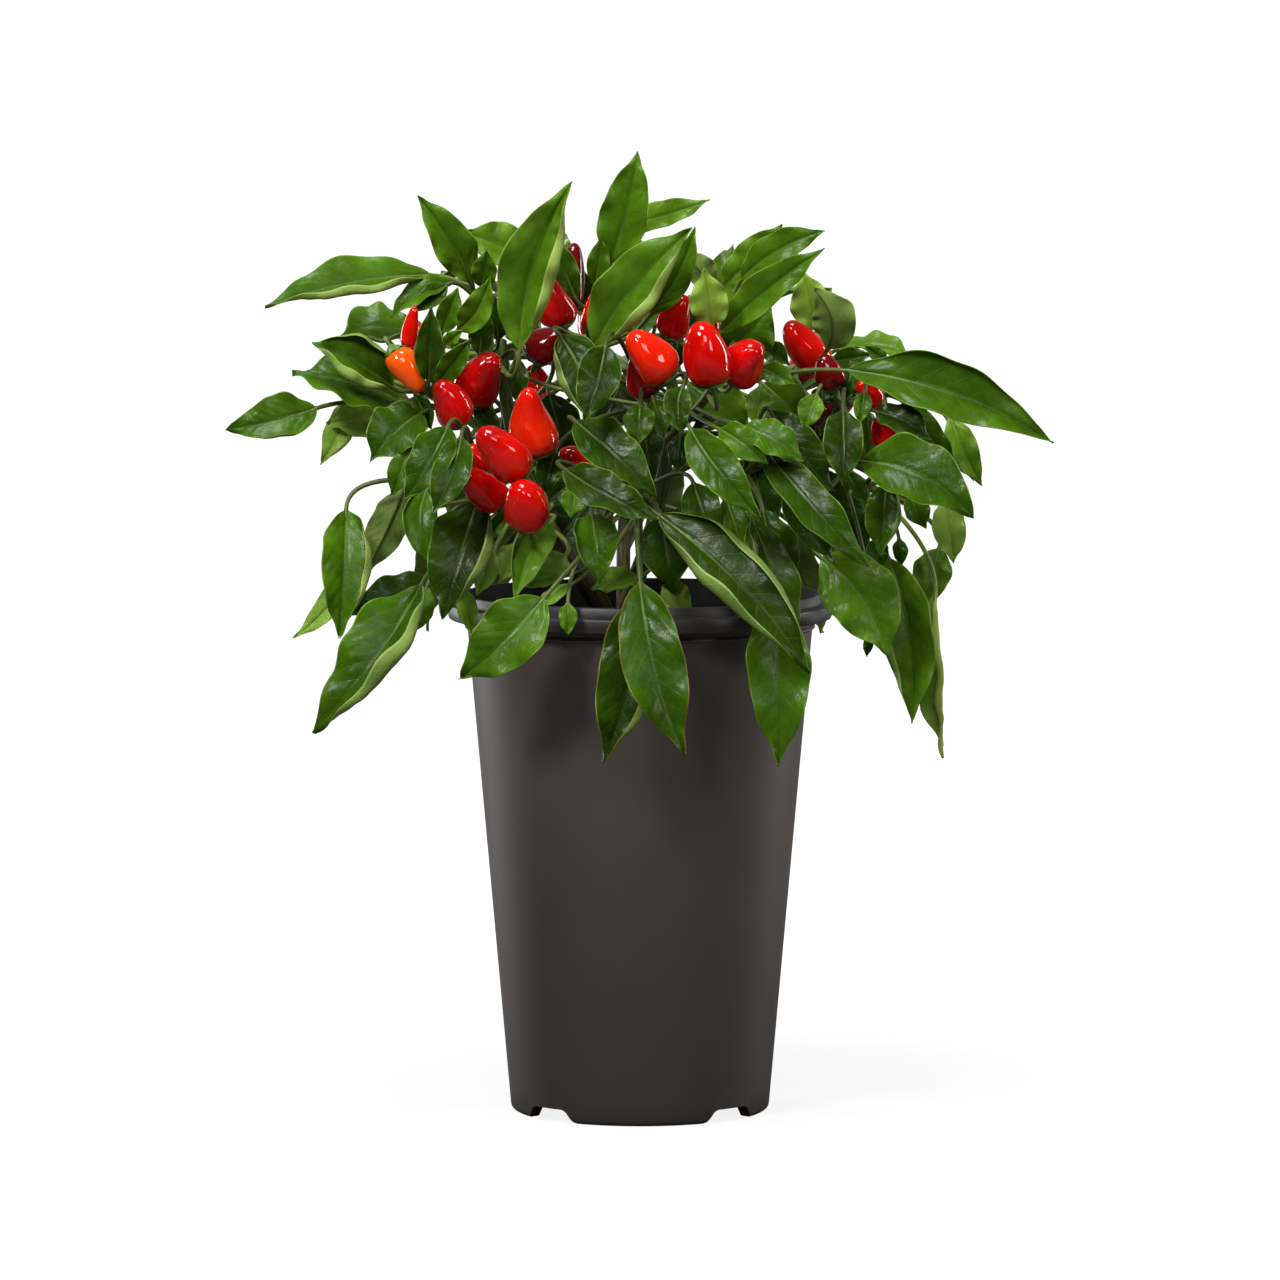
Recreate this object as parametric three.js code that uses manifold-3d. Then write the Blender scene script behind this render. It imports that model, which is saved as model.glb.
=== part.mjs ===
// A potted chilli pepper plant: a tall nursery pot on four feet, filled with potting soil,
// with a forked main stem, leafy side stems that carry the leaves and the fruit stalks with their
// calyxes, and upright cone-shaped fruits. Millimetres, +Z up, the origin on the ground under the pot's axis,
// and the front of the plant towards -Y.

import * as THREE from "three";
import { mergeVertices } from "three/addons/utils/BufferGeometryUtils.js";
import Module from "manifold-3d";

const wasm = await Module();
wasm.setup();

// Pot
const POT_SIDES = 24;
const POT_WALL = 1.6;
const FOOT_RADIUS = 46.8;
const WALL_FOOT_RADIUS = 48.6;
const WALL_TOP_RADIUS = 64.6;
const FLANGE_RADIUS = 71.9;
const FLANGE_TOP = 191;
const FLANGE_HEIGHT = 5.6;
const COLLAR_RADIUS = 67.4;
const COLLAR_RISE = 3.8;
const BEAD_BELOW_FLANGE = 3.2;
const FLOOR_UNDERSIDE = 6;
const FLOOR_TOP = 8;
const FLOOR_CORNER = 2;
const FOOT_RING_WIDTH = 3.6;
const FOOT_COUNT = 4;
const NOTCH_HEIGHT = 5;
const NOTCH_TOP_WIDTH = 15;
const NOTCH_BOTTOM_WIDTH = 25;
const NOTCH_DEPTH = 16;
const DRAIN_WIDTH = 13;
const DRAIN_LENGTH = 7;
const DRAIN_HEIGHT = 6;

// Soil
const SOIL_TOP = 181;
const SOIL_SIDES = 24;
const SOIL_GAP = 0.4;
const SOIL_TOP_RADII = [46, 31, 17];

// Plant: GAP is the clearance between pieces that are not joined
const GAP = 0.35;
const MAIN_LIMB_SIDES = 7;
const SIDE_STEM_SIDES = 5;
const BLADE_THICKNESS = 0.8;
const BLADE_WAVE = 0.035;
const PETIOLE_RADIUS = 1.05;
const SMALL_LEAF = 23;
const LARGE_LEAF = 40;
const PEDICEL_RADIUS = 1.0;
const PEDICEL_SIDES = 4;
const CALYX_HEIGHT = 2.6;
const CALYX_SHARE = 0.58;
const FRUIT_SIDES = 6;

// The plant is laid out as it lines up for an eye in front of it. A point is given as
// [across, depth, height]: where its line of sight meets the upright plane through the pot's axis,
// and how far behind that plane it lies. Heights there are measured square to the line of sight.
const EYE = new THREE.Vector3(0, -3000, 452);
const SIGHT_TILT = THREE.MathUtils.degToRad(5.24);

function placed([across, depth, height]) {
  const onPlane = new THREE.Vector3(across, 0, height / Math.cos(SIGHT_TILT));
  const reach = depth / -EYE.y;
  return onPlane.clone().add(onPlane.clone().sub(EYE).multiplyScalar(reach));
}

// Main stem: a trunk in the soil that forks just above it
const MAIN_STEMS = [
  { radii: [3.4, 4.6, 3.6, 3.0, 2.6, 2.2],
    path: [[-10, 6, 148], [-13, 4, 184], [-32, -6, 214], [-44, -10, 240], [-50, -8, 266], [-52, -4, 288]] },
  { radii: [3.0, 4.0, 3.0, 2.7, 2.4, 2.0],
    path: [[-9, 6, 160], [-4, 3, 190], [4, -2, 216], [9, -4, 240], [13, 0, 264], [6, 4, 290]] },
  { radii: [2.6, 2.4, 2.2, 1.9], path: [[4, -2, 214], [26, 6, 232], [52, 8, 246], [74, 6, 262]] },
  { radii: [2.8, 2.6, 2.3, 2.0], path: [[-6, 4, 184], [-6, 24, 212], [-4, 34, 244], [0, 38, 270]] },
];

// Side stems. A leaf is [number, base, tip, width, upper side faces, arch, sway, fold]:
// base and tip as [across, depth, height], arch the rise of the midrib towards the upper side,
// sway its bulge to the right as the upper side shows it tip up, fold the lift of each half in degrees.
// A fruit is [number, stem end, tip, width].
const SIDE_STEMS = [
  { name: "leafy_stem_left_top", radii: [2.1, 1.7, 1.2],
    path: [[-51, -6, 276], [-60, -10, 296], [-64, -6, 314]],
    leaves: [
      [1, [-78, -6, 312.5], [-140, -26, 301], 19.5, [0, -4, 3], 1.5, 2.5, 18],
      [2, [-63, -14, 310], [-83, -24, 342], 16.5, [0, -3, 1], 3, 1, 22],
      [3, [-45, -50, 285], [-25.5, -60, 347], 26, [0, -3, 1], -2, -4.5, 28],
      [4, [-42, 12, 319], [-66, 4, 328.5], 18, [0, -3, 1], 2, 0, 15],
      [5, [-70, -6, 310], [-93, -14, 297], 11.5, [0, -2, 2], 4, 0, 20],
      [6, [-84, 10, 290], [-114, 4, 288], 22, [0, -2, 2], 6, 0, 12],
      [16, [-68, -28, 292], [-56, -36, 312], 12, [0, -3, 0], 2, 2, 20],
    ],
    fruits: [] },
  { name: "leafy_stem_left_far", radii: [2.2, 1.8, 1.3],
    path: [[-46, -11, 246], [-66, -20, 260], [-84, -22, 272]],
    leaves: [
      [7, [-93, -24, 271], [-122.5, -28, 287.5], 22, [0, -2, 1], 4, 0, 24],
      [8, [-90, -17, 266], [-130, -22, 276], 27, [0, -2, 2], 4, -1, 16],
      [9, [-121, -30, 263], [-155, -38, 255], 18.5, [0, -3, 1], 4, -2, 14],
      [10, [-84, -2, 263], [-117, -6, 257], 22, [0, -3, 1], 3, 0, 12],
      [11, [-106.5, 2, 267], [-119.5, -4, 242], 12, [0, -3, 1], 2, -1, 14],
      [12, [-82, -34, 261], [-101, -44, 243], 22, [0, -3, 2], 4, 0, 18],
      [13, [-79, -38, 273], [-78, -44, 301], 12, [0, -3, 0], 2, 0, 24],
      [14, [-75, -40, 273], [-63, -48, 289], 10, [0, -3, 0], 2, 0, 22],
      [207, [-80, 18, 268], [-108, 28, 266], 19, [-1, 1, 3], 4, 0, 16],
      [208, [-68, 16, 250], [-86, 26, 224], 20, [-3, 1, 2], 4, 0, 16],
    ],
    fruits: [
      [1, [-92, -36, 284], [-82, -38, 269], 12],
      [2, [-87, -30, 286], [-84, -32, 301], 6.5],
      [3, [-68, -39, 258], [-75, -49, 273], 15],
      [4, [-63, -22, 266], [-54, -30, 283], 18],
      [27, [-77, -26, 275], [-76, -28, 287], 8],
    ] },
  { name: "leafy_stem_left_low", radii: [2.2, 1.9, 1.4],
    path: [[-34, -7, 217], [-54, -26, 230], [-74, -34, 240]],
    leaves: [
      [60, [-33, -32, 221], [-47, -56, 191], 15, [0, -3, 1], 3, 2, 18],
      [80, [-72, -62, 256], [-88, -72, 229], 17, [0, -3, 2], 4, -2, 16],
      [81, [-67, -67, 252], [-78, -79, 223], 15, [0, -3, 2], 3, -2, 18],
      [83, [-80, -48, 232], [-79, -56, 205], 14, [0, -3, 1], 3, 3, 18],
      [84, [-61, -44, 228], [-74, -62, 184], 26, [0, -3, 1], 5, 0, 18],
      [88, [-110, -34, 225], [-113, -48, 177], 21, [1, -3, 1], 4, 0.5, 20],
      [89, [-88.5, -16, 233], [-103, -20, 201], 15, [0, 3, 1], -3, 0, 10],
      [90, [-107, -8, 205], [-130, -14, 177], 10, [0, -3, 1], 2, -3, 14],
      [91, [-82, -46, 197], [-123, -62, 141.5], 29, [-1, -3, 2], 6, -6.5, 20],
      [93, [-76, -24, 196], [-109, -32, 185.5], 18, [0, -3, 2], 3, 0, 14],
      [209, [-58, 22, 234], [-76, 31, 204], 18, [-3, 1, 1], 4, 0, 16],
    ],
    fruits: [
      [6, [-44.5, -70, 239], [-60, -80, 255], 17],
      [7, [-58, -50, 240], [-65, -52, 249], 11],
      [8, [-52, -56, 227.5], [-67, -64, 240.5], 14],
      [9, [-42, -70, 220.5], [-45, -84, 234.5], 17.5],
    ] },
  { name: "leafy_stem_top", radii: [1.9, 1.6, 1.2],
    path: [[9, 2, 280], [-6, -2, 296], [-10, -6, 314]],
    leaves: [
      [20, [-11, -12, 317], [-1, -16, 358.5], 20, [0, -3, 1], 3, 1.5, 18],
      [21, [-8, 4, 330], [26, -2, 340.5], 11.5, [0, -2, 1], 1, 1, 16],
      [24, [4, -38, 298], [20.5, -44, 330.5], 12, [0, -3, 0], 2, 2, 16],
      [25, [28, -10, 309], [16, -12, 322], 12, [0, 3, 1], -2, 0, 10],
      [240, [-16, 8, 278], [-42, 14, 276], 16, [-1, 0, 4], 4, 0, 16],
      [241, [14, 0, 294], [38, -8, 295], 16, [1, 0, 4], 4, 0, 16],
    ],
    fruits: [
      [11, [-29, -22, 294.5], [-34.5, -26, 311.5], 15],
      [12, [-28, 3, 299], [-24.3, 3, 324.5], 13],
      [13, [-19, -8, 293], [-16.5, -12, 306.5], 9],
    ] },
  { name: "leafy_stem_centre", radii: [2.1, 1.8, 1.4],
    path: [[10, -4, 256], [2, -22, 266], [-6, -32, 278]],
    leaves: [
      [23, [-17, -48, 286], [19.5, -60, 330], 24, [0, -3, 1], 4, -2, 16],
      [72, [16, -64, 271], [16, -72, 253], 11, [0, -3, 1], 2, 2, 22],
      [73, [-13, -70, 286], [-21, -82, 258], 17, [0, -3, 1], 3, -1, 20],
      [74, [-30, -46, 290], [-19, -60, 256], 20, [0, -3, 1], 2, -3, 12],
    ],
    fruits: [
      [14, [-41, 0, 284], [-27.5, -6, 291], 15],
      [15, [10, -60, 275], [-4, -66, 291], 17],
      [16, [2.5, -43.5, 268], [-2, -47, 283], 14.5],
      [17, [11, -32, 290], [17, -36, 305], 13],
    ] },
  { name: "leafy_stem_right_top", radii: [2.1, 1.8, 1.5, 1.2],
    path: [[11, -3, 252], [24, -20, 266], [34, -28, 284], [36, -24, 300]],
    leaves: [
      [26, [31, -22, 308], [53, -26, 331.5], 14.5, [0, -3, 1], 2, 1, 14],
      [27, [38, -30, 311], [69, -36, 329], 14, [0, -3, 1], 3, -2, 14],
      [28, [30, -42, 291], [69, -52, 322.5], 14.5, [0, -3, 1], 3, -1, 20],
      [29, [27, -50, 294], [24, -56, 315], 15, [0, -3, 0], 2, 0, 16],
      [30, [34, -26, 284], [49, -30, 301], 22, [0, -3, 0], 2, 0, 14],
      [35, [78, -42, 277], [154.5, -54, 250], 24, [0, -2, 1], 6, -2.5, 22],
      [98, [46, 3, 272], [62, 0, 257], 18, [0, -3, 1], 3, 0, 16],
      [69, [19, -74, 255], [45, -92, 222], 17, [0, -3, 1], 4, 2, 18],
      [70, [30, -70, 255], [48, -80, 242], 13, [0, -3, 1], 3, 0, 16],
      [71, [39, -70, 256], [61, -78, 243], 15, [0, -3, 2], 3, 0, 14],
    ],
    fruits: [
      [18, [27, -60, 273], [22, -68, 295], 18],
      [19, [36, -46, 274], [44, -56, 287], 17],
    ] },
  { name: "leafy_stem_right_far", radii: [2.0, 1.7, 1.3],
    path: [[70, 6, 258], [84, -4, 268], [96, -10, 268]],
    leaves: [
      [32, [66, 6, 292], [61, 2, 314], 16, [0, -3, 0], 1, 0, 14],
      [33, [70, -18, 285], [65, -24, 308], 18, [1, 3, 0], -2, -5, 12],
      [34, [74, 14, 285], [103, 8, 282], 15, [0, -1, 2], 3, 0, 14],
      [37, [83, -52, 243], [125, -64, 222], 27, [0, -2, 1], 6, -3, 14],
      [38, [100, -22, 265], [119, -28, 241], 12, [0, -3, 1], 3, 2, 16],
      [39, [116, -8, 260], [128, -14, 234], 12, [0, -3, 1], 2, 1, 22],
      [77, [116, 4, 257], [125, 0, 236], 12, [0, 3, 1], -2, 0, 12],
      [40, [88, -46, 262], [109, -52, 251], 13, [0, -3, 2], 3, 0, 14],
      [41, [76, -50, 262], [76, -62, 234], 16, [0, -3, 1], 3, 0, 20],
      [203, [74, 22, 268], [104, 30, 262], 18, [1, 1, 3], 4, 0, 16],
      [204, [80, 18, 250], [106, 26, 226], 20, [3, 1, 2], 4, 0, 16],
      [206, [60, 24, 281], [80, 38, 289], 18, [1, 1, 3], 3, 0, 16],
    ],
    fruits: [
      [20, [68, -3, 279], [55, -9, 295], 15],
      [21, [72, -26, 271], [68, -30, 283], 12],
      [22, [88, -24, 264], [82, -28, 273], 10],
      [23, [95, -32, 250], [88, -36, 259], 12],
      [24, [99, -12, 255], [112, -16, 247], 9],
      [25, [62, -28, 258], [72, -30, 264], 10],
    ] },
  { name: "leafy_stem_right_low", radii: [2.0, 1.7, 1.3],
    path: [[56, 8, 250], [76, 0, 240], [94, -8, 228]],
    leaves: [
      [44, [92, -34, 234], [90, -42, 208], 15, [0, -3, 1], 3, 0, 18],
      [45, [114, -26, 228], [117.5, -32, 205], 13.5, [0, -3, 1], 3, 0, 20],
      [46, [112, 0, 210.5], [106, -6, 188], 15, [0, -3, 1], 2, 0, 14],
      [49, [93, -26, 207], [102, -36, 145], 21.5, [-1, -3, 1], 4, -5, 18],
      [50, [110.5, -14, 194], [114, -20, 132], 17, [-3, -2, 1], 3, -2, 18],
      [51, [68, -42, 207], [93, -52, 170], 28, [0, -3, 1], 4, -3.5, 12],
    ],
    fruits: [] },
  { name: "leafy_stem_inner", radii: [2.0, 1.7, 1.4, 1.1],
    path: [[-4, 34, 246], [-3, 26, 256], [4, 20, 268], [8, 18, 280]],
    leaves: [
      [94, [-34, 18, 268], [-26, 12, 240], 18, [0, -3, 1], 2, 0, 16],
      [95, [-6, 20, 275], [-17, 12, 250], 20, [0, -3, 1], 3, 0, 16],
      [96, [1, 22, 258], [5, 16, 231], 16, [0, -3, 1], 2, 0, 16],
      [97, [18, 22, 272], [42, 16, 254], 20, [0, -3, 1], 3, 0, 16],
      [99, [-15, 24, 232], [-35, 14, 209], 20, [0, -3, 1], 3, 0, 16],
      [201, [64, 22, 240], [86, 14, 205], 20, [0, -3, 1], 3, 0, 16],
      [202, [42, 12, 243], [48, 6, 214], 18, [0, -3, 1], 3, 0, 16],
    ],
    fruits: [] },
  { name: "leafy_stem_front_right", radii: [2.0, 1.7, 1.3],
    path: [[22, 4, 230], [36, -24, 236], [44, -40, 244]],
    leaves: [
      [52, [46, -64, 249], [87, -90, 202], 17, [0, -3, 2], 5, 3, 18],
      [53, [56, -56, 237], [73, -68, 205], 15, [0, -3, 1], 4, 2, 16],
      [54, [46, -46, 225], [56, -56, 189], 20, [0, -3, 1], 4, 1, 14],
      [65, [50, -72, 192], [52, -84, 129], 24, [0, -3, 1], 4, -1, 14],
      [66, [42, -58, 222], [59, -72, 172], 17, [1, -3, 1], 4, 1, 24],
      [67, [32, -46, 230], [42, -52, 198], 12, [0, -3, 1], 3, 0, 16],
      [78, [49, -34, 262], [73, -44, 232], 18, [0, -3, 1], 4, 2, 14],
    ],
    fruits: [] },
  { name: "leafy_stem_front", radii: [2.0, 1.7, 1.3],
    path: [[6, -3, 226], [-2, -28, 232], [-10, -46, 240]],
    leaves: [
      [56, [-24, -64, 258], [6, -80, 230], 20, [0, -3, 2], 4, 1, 18],
      [57, [-28, -80, 240], [7, -98, 221], 17, [0, -3, 2], 4, 3, 18],
      [58, [-18, -66, 223], [-15, -78, 198], 18, [0, -3, 1], 4, 0, 18],
      [61, [-36, -78, 192], [-67, -80, 162], 25, [0, -3, 1], 5, -2, 14],
      [62, [0, -80, 194], [-14, -94, 130], 25, [0, -3, 1], 3, -3, 16],
      [63, [0, -98, 198], [17, -114, 133], 24, [0, -3, 1], 4, 3, 14],
      [64, [7, -74, 223], [64, -100, 164], 26, [0, -3, 2], 5, -2, 16],
      [68, [20, -46, 235], [27, -54, 210], 15, [0, -3, 1], 3, 0, 16],
      [100, [8, -24, 222], [12, -34, 194], 20, [0, -3, 1], 3, 0, 16],
    ],
    fruits: [
      [5, [-38, -52, 247], [-42, -62, 270.5], 18.5],
      [10, [-15, -28, 237], [-30, -32, 247], 14],
    ] },
];

// The far side: side stems whose leaves stand in rows round a dome. A stem takes the leaves of its rows
// between two bearings, in degrees: 0 is right, 90 back and 180 left.
const FAR_STEMS = [
  { name: "leafy_stem_back_right", radii: [2.1, 1.8, 1.5, 1.2], from: 0, to: 68, rows: [0, 4],
    path: [[-4, 28, 232], [22, 44, 244], [46, 52, 260], [52, 54, 278]],
    fruits: [
      [28, [60, 72, 272], [64, 79, 289], 15],
      [29, [23, 62, 289], [26, 68, 307], 16],
      [30, [72, 42, 262], [78, 46, 278], 14],
    ] },
  { name: "leafy_stem_back", radii: [2.0, 1.7, 1.4, 1.1], from: 68, to: 112, rows: [0, 2],
    path: [[0, 38, 267], [0, 47, 279], [0, 51, 292], [-2, 51, 305]],
    fruits: [
      [31, [6, 68, 296], [9, 77, 315], 16],
      [32, [-14, 72, 288], [-20, 84, 304], 15],
    ] },
  { name: "leafy_stem_back_low", radii: [2.0, 1.7, 1.4], from: 68, to: 112, rows: [3, 4],
    path: [[-6, 22, 210], [0, 42, 222], [4, 58, 234]],
    fruits: [] },
  { name: "leafy_stem_back_left", radii: [2.1, 1.8, 1.5, 1.2], from: 112, to: 180, rows: [0, 4],
    path: [[-5, 24, 224], [-32, 40, 240], [-54, 50, 258], [-58, 52, 276]],
    fruits: [
      [33, [-45, 52, 290], [-47, 60, 309], 16],
      [34, [-38, 64, 262], [-40, 73, 279], 14],
      [35, [-76, 36, 278], [-86, 38, 296], 14],
    ] },
];

// Rows of the far side, top to bottom: how many leaves, their first and last bearing,
// the radius and height of base and tip, the width
const FAR_ROWS = [
  { count: 3, from: 44, to: 136, base: [22, 296], tip: [46, 326], width: 19 },
  { count: 5, from: 28, to: 152, base: [40, 290], tip: [80, 313], width: 21 },
  { count: 7, from: 20, to: 164, base: [64, 272], tip: [118, 274], width: 22 },
  { count: 7, from: 24, to: 152, base: [70, 243], tip: [116, 220], width: 24 },
  { count: 6, from: 32, to: 148, base: [74, 222], tip: [102, 178], width: 22 },
];
const FAR_SEED = 20;
const FIRST_FAR_LEAF = 101;
const DRAW_FACTOR = 16807;
const DRAW_RANGE = 2147483647;

// A seeded draw between -0.5 and 0.5
function seededShares(seed) {
  let state = seed;
  return () => {
    state = (state * DRAW_FACTOR) % DRAW_RANGE;
    return state / DRAW_RANGE - 0.5;
  };
}

function farStems() {
  const share = seededShares(FAR_SEED);
  const stems = FAR_STEMS.map((stem) => ({ ...stem, leaves: [] }));
  let number = FIRST_FAR_LEAF;
  FAR_ROWS.forEach((row, level) => {
    for (let index = 0; index < row.count; index += 1) {
      const step = (row.to - row.from) / (row.count - 1);
      const bearing = row.from + step * (index + 0.3 * share());
      const angle = THREE.MathUtils.degToRad(bearing);
      const turned = angle + 0.25 * share();
      const [baseRadius, baseHeight] = row.base;
      const reach = row.tip[0] * (1 + 0.08 * share());
      const rise = 12 * share();
      const base = [baseRadius * Math.cos(angle), baseRadius * Math.sin(angle), baseHeight + rise];
      const tip = [reach * Math.cos(turned), reach * Math.sin(turned), row.tip[1] + rise + 10 * share()];
      const faces = [Math.cos(angle), Math.sin(angle), 1.4];
      const leaf = [number, base, tip, row.width * (1 + 0.2 * share()), faces,
        6 + 5 * share(), 6 * share(), 16 + 8 * share()];
      stems.find(({ from, to, rows }) => (
        bearing >= from && bearing < to && level >= rows[0] && level <= rows[1]
      )).leaves.push(leaf);
      number += 1;
    }
  });
  return stems;
}

const allStems = [...SIDE_STEMS, ...farStems()];

const materials = {
  pot: new THREE.MeshStandardMaterial({ color: 0x393430, roughness: 0.5, metalness: 0 }),
  soil: new THREE.MeshStandardMaterial({ color: 0x17120e, roughness: 0.95, metalness: 0 }),
  stem: new THREE.MeshStandardMaterial({ color: 0x4c5a2a, roughness: 0.6, metalness: 0 }),
  leaf: new THREE.MeshStandardMaterial({ color: 0x2f6b1e, roughness: 0.45, metalness: 0 }),
  fruit: new THREE.MeshStandardMaterial({ color: 0xc81510, roughness: 0.2, metalness: 0 }),
};

function solidOf(geometry) {
  const bare = geometry.clone();
  bare.deleteAttribute("normal");
  bare.deleteAttribute("uv");
  const merged = mergeVertices(bare, 1e-5);
  return new wasm.Manifold(new wasm.Mesh({
    numProp: 3,
    vertProperties: new Float32Array(merged.attributes.position.array),
    triVerts: new Uint32Array(merged.index.array),
  }));
}

function meshOf(name, solid, material) {
  const { vertProperties, triVerts } = solid.getMesh();
  const geometry = new THREE.BufferGeometry();
  geometry.setAttribute("position", new THREE.BufferAttribute(new Float32Array(vertProperties), 3));
  geometry.setIndex(new THREE.BufferAttribute(new Uint32Array(triVerts), 1));
  geometry.computeVertexNormals();
  const mesh = new THREE.Mesh(geometry, material);
  mesh.name = name;
  return mesh;
}

function facetedSolid(points, faces) {
  const geometry = new THREE.BufferGeometry();
  geometry.setAttribute("position", new THREE.Float32BufferAttribute(points.flatMap((p) => p.toArray()), 3));
  geometry.setIndex(faces.flat());
  return solidOf(geometry);
}

// A body of round sections around a curve: rings of points joined by quads, with flat ends or a point
function ringSolid(rings, pointedEnd) {
  const sides = rings[0].length;
  const points = rings.flat();
  const faces = [];
  for (let ring = 0; ring + 1 < rings.length; ring += 1) {
    for (let side = 0; side < sides; side += 1) {
      const next = (side + 1) % sides;
      const a = ring * sides + side;
      const b = ring * sides + next;
      faces.push([a, b, b + sides], [a, b + sides, a + sides]);
    }
  }
  for (let side = 1; side + 1 < sides; side += 1) {
    faces.push([0, side + 1, side]);
  }
  const last = (rings.length - 1) * sides;
  if (pointedEnd) {
    points.push(pointedEnd);
    for (let side = 0; side < sides; side += 1) {
      faces.push([last + side, last + ((side + 1) % sides), points.length - 1]);
    }
  } else {
    for (let side = 1; side + 1 < sides; side += 1) {
      faces.push([last, last + side, last + side + 1]);
    }
  }
  return facetedSolid(points, faces);
}

function ringAround(centre, direction, radius, sides) {
  const helper = Math.abs(direction.z) > 0.9 ? new THREE.Vector3(1, 0, 0) : new THREE.Vector3(0, 0, 1);
  const across = new THREE.Vector3().crossVectors(helper, direction).normalize();
  const up = new THREE.Vector3().crossVectors(direction, across);
  const ring = [];
  for (let side = 0; side < sides; side += 1) {
    const angle = (2 * Math.PI * side) / sides;
    ring.push(centre.clone()
      .addScaledVector(across, radius * Math.cos(angle))
      .addScaledVector(up, radius * Math.sin(angle)));
  }
  return ring;
}

function taperedTube(points, radii, sides, steps) {
  const curve = new THREE.CatmullRomCurve3(points, false, "centripetal");
  const frames = curve.computeFrenetFrames(steps, false);
  const rings = [];
  for (let step = 0; step <= steps; step += 1) {
    const along = step / steps;
    const place = along * (radii.length - 1);
    const low = Math.min(Math.floor(place), radii.length - 2);
    const radius = THREE.MathUtils.lerp(radii[low], radii[low + 1], place - low);
    const centre = curve.getPointAt(along);
    const ring = [];
    for (let side = 0; side < sides; side += 1) {
      const angle = (2 * Math.PI * side) / sides;
      ring.push(centre.clone()
        .addScaledVector(frames.normals[step], radius * Math.cos(angle))
        .addScaledVector(frames.binormals[step], radius * Math.sin(angle)));
    }
    rings.push(ring);
  }
  return ringSolid(rings, null);
}

// Pot: a turned shell with a stepped rim, cut by the notches between the feet and by the drain slots
function potSolid() {
  const flangeBottom = FLANGE_TOP - FLANGE_HEIGHT;
  const beadHeight = flangeBottom - BEAD_BELOW_FLANGE;
  const collarTop = FLANGE_TOP + COLLAR_RISE;
  const floorRadius = WALL_FOOT_RADIUS - POT_WALL;
  const profile = [
    [0, FLOOR_UNDERSIDE],
    [FOOT_RADIUS - FOOT_RING_WIDTH, FLOOR_UNDERSIDE],
    [FOOT_RADIUS - FOOT_RING_WIDTH, 0],
    [FOOT_RADIUS, 0],
    [WALL_FOOT_RADIUS, 2],
    [WALL_TOP_RADIUS, beadHeight - 0.8],
    [WALL_TOP_RADIUS + 1.1, beadHeight],
    [WALL_TOP_RADIUS + 0.5, beadHeight + 1.2],
    [WALL_TOP_RADIUS + 0.7, flangeBottom],
    [FLANGE_RADIUS - 1, flangeBottom],
    [FLANGE_RADIUS, flangeBottom + 1.1],
    [FLANGE_RADIUS, FLANGE_TOP - 1.1],
    [FLANGE_RADIUS - 1.1, FLANGE_TOP],
    [COLLAR_RADIUS + 0.3, FLANGE_TOP],
    [COLLAR_RADIUS, collarTop],
    [COLLAR_RADIUS - 1.3, collarTop],
    [WALL_TOP_RADIUS - POT_WALL, beadHeight],
    [floorRadius, FLOOR_TOP + FLOOR_CORNER],
    [floorRadius - FLOOR_CORNER, FLOOR_TOP],
    [0, FLOOR_TOP],
  ];
  const outline = profile.map(([radius, height]) => new THREE.Vector2(radius, height));
  const body = new THREE.LatheGeometry(outline, POT_SIDES);
  body.rotateX(Math.PI / 2);
  let pot = solidOf(body);

  for (let corner = 0; corner < FOOT_COUNT; corner += 1) {
    const bearing = (2 * Math.PI * (corner + 0.5)) / FOOT_COUNT;
    const notch = new THREE.Shape();
    notch.moveTo(-NOTCH_BOTTOM_WIDTH / 2, -1);
    notch.lineTo(NOTCH_BOTTOM_WIDTH / 2, -1);
    notch.lineTo(NOTCH_BOTTOM_WIDTH / 2 - 1, 0);
    notch.lineTo(NOTCH_TOP_WIDTH / 2 + 0.8, NOTCH_HEIGHT - 0.6);
    notch.lineTo(NOTCH_TOP_WIDTH / 2 - 0.6, NOTCH_HEIGHT);
    notch.lineTo(-NOTCH_TOP_WIDTH / 2 + 0.6, NOTCH_HEIGHT);
    notch.lineTo(-NOTCH_TOP_WIDTH / 2 - 0.8, NOTCH_HEIGHT - 0.6);
    notch.lineTo(-NOTCH_BOTTOM_WIDTH / 2 + 1, 0);
    const wedge = new THREE.ExtrudeGeometry(notch, { depth: NOTCH_DEPTH, bevelEnabled: false });
    wedge.translate(0, 0, FOOT_RADIUS - NOTCH_DEPTH / 2);
    wedge.rotateX(Math.PI / 2);
    wedge.rotateZ(bearing);

    const drain = new THREE.BoxGeometry(DRAIN_WIDTH, DRAIN_LENGTH, DRAIN_HEIGHT);
    drain.translate(0, DRAIN_LENGTH / 2 + 2 - FOOT_RADIUS, (FLOOR_UNDERSIDE + FLOOR_TOP) / 2);
    drain.rotateZ(bearing);
    pot = pot.subtract(solidOf(wedge)).subtract(solidOf(drain));
  }
  return pot;
}

// Soil: a plug that follows the pot's inner wall, with a gently uneven top
function soilHeight(radius, angle) {
  const lumps = 0.9 * Math.sin(5 * angle + radius * 0.21) + 0.7 * Math.cos(3 * angle - radius * 0.16);
  const fromWall = WALL_TOP_RADIUS - POT_WALL - radius;
  return SOIL_TOP + lumps * Math.min(1, fromWall / 20) + 0.025 * fromWall;
}

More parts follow.
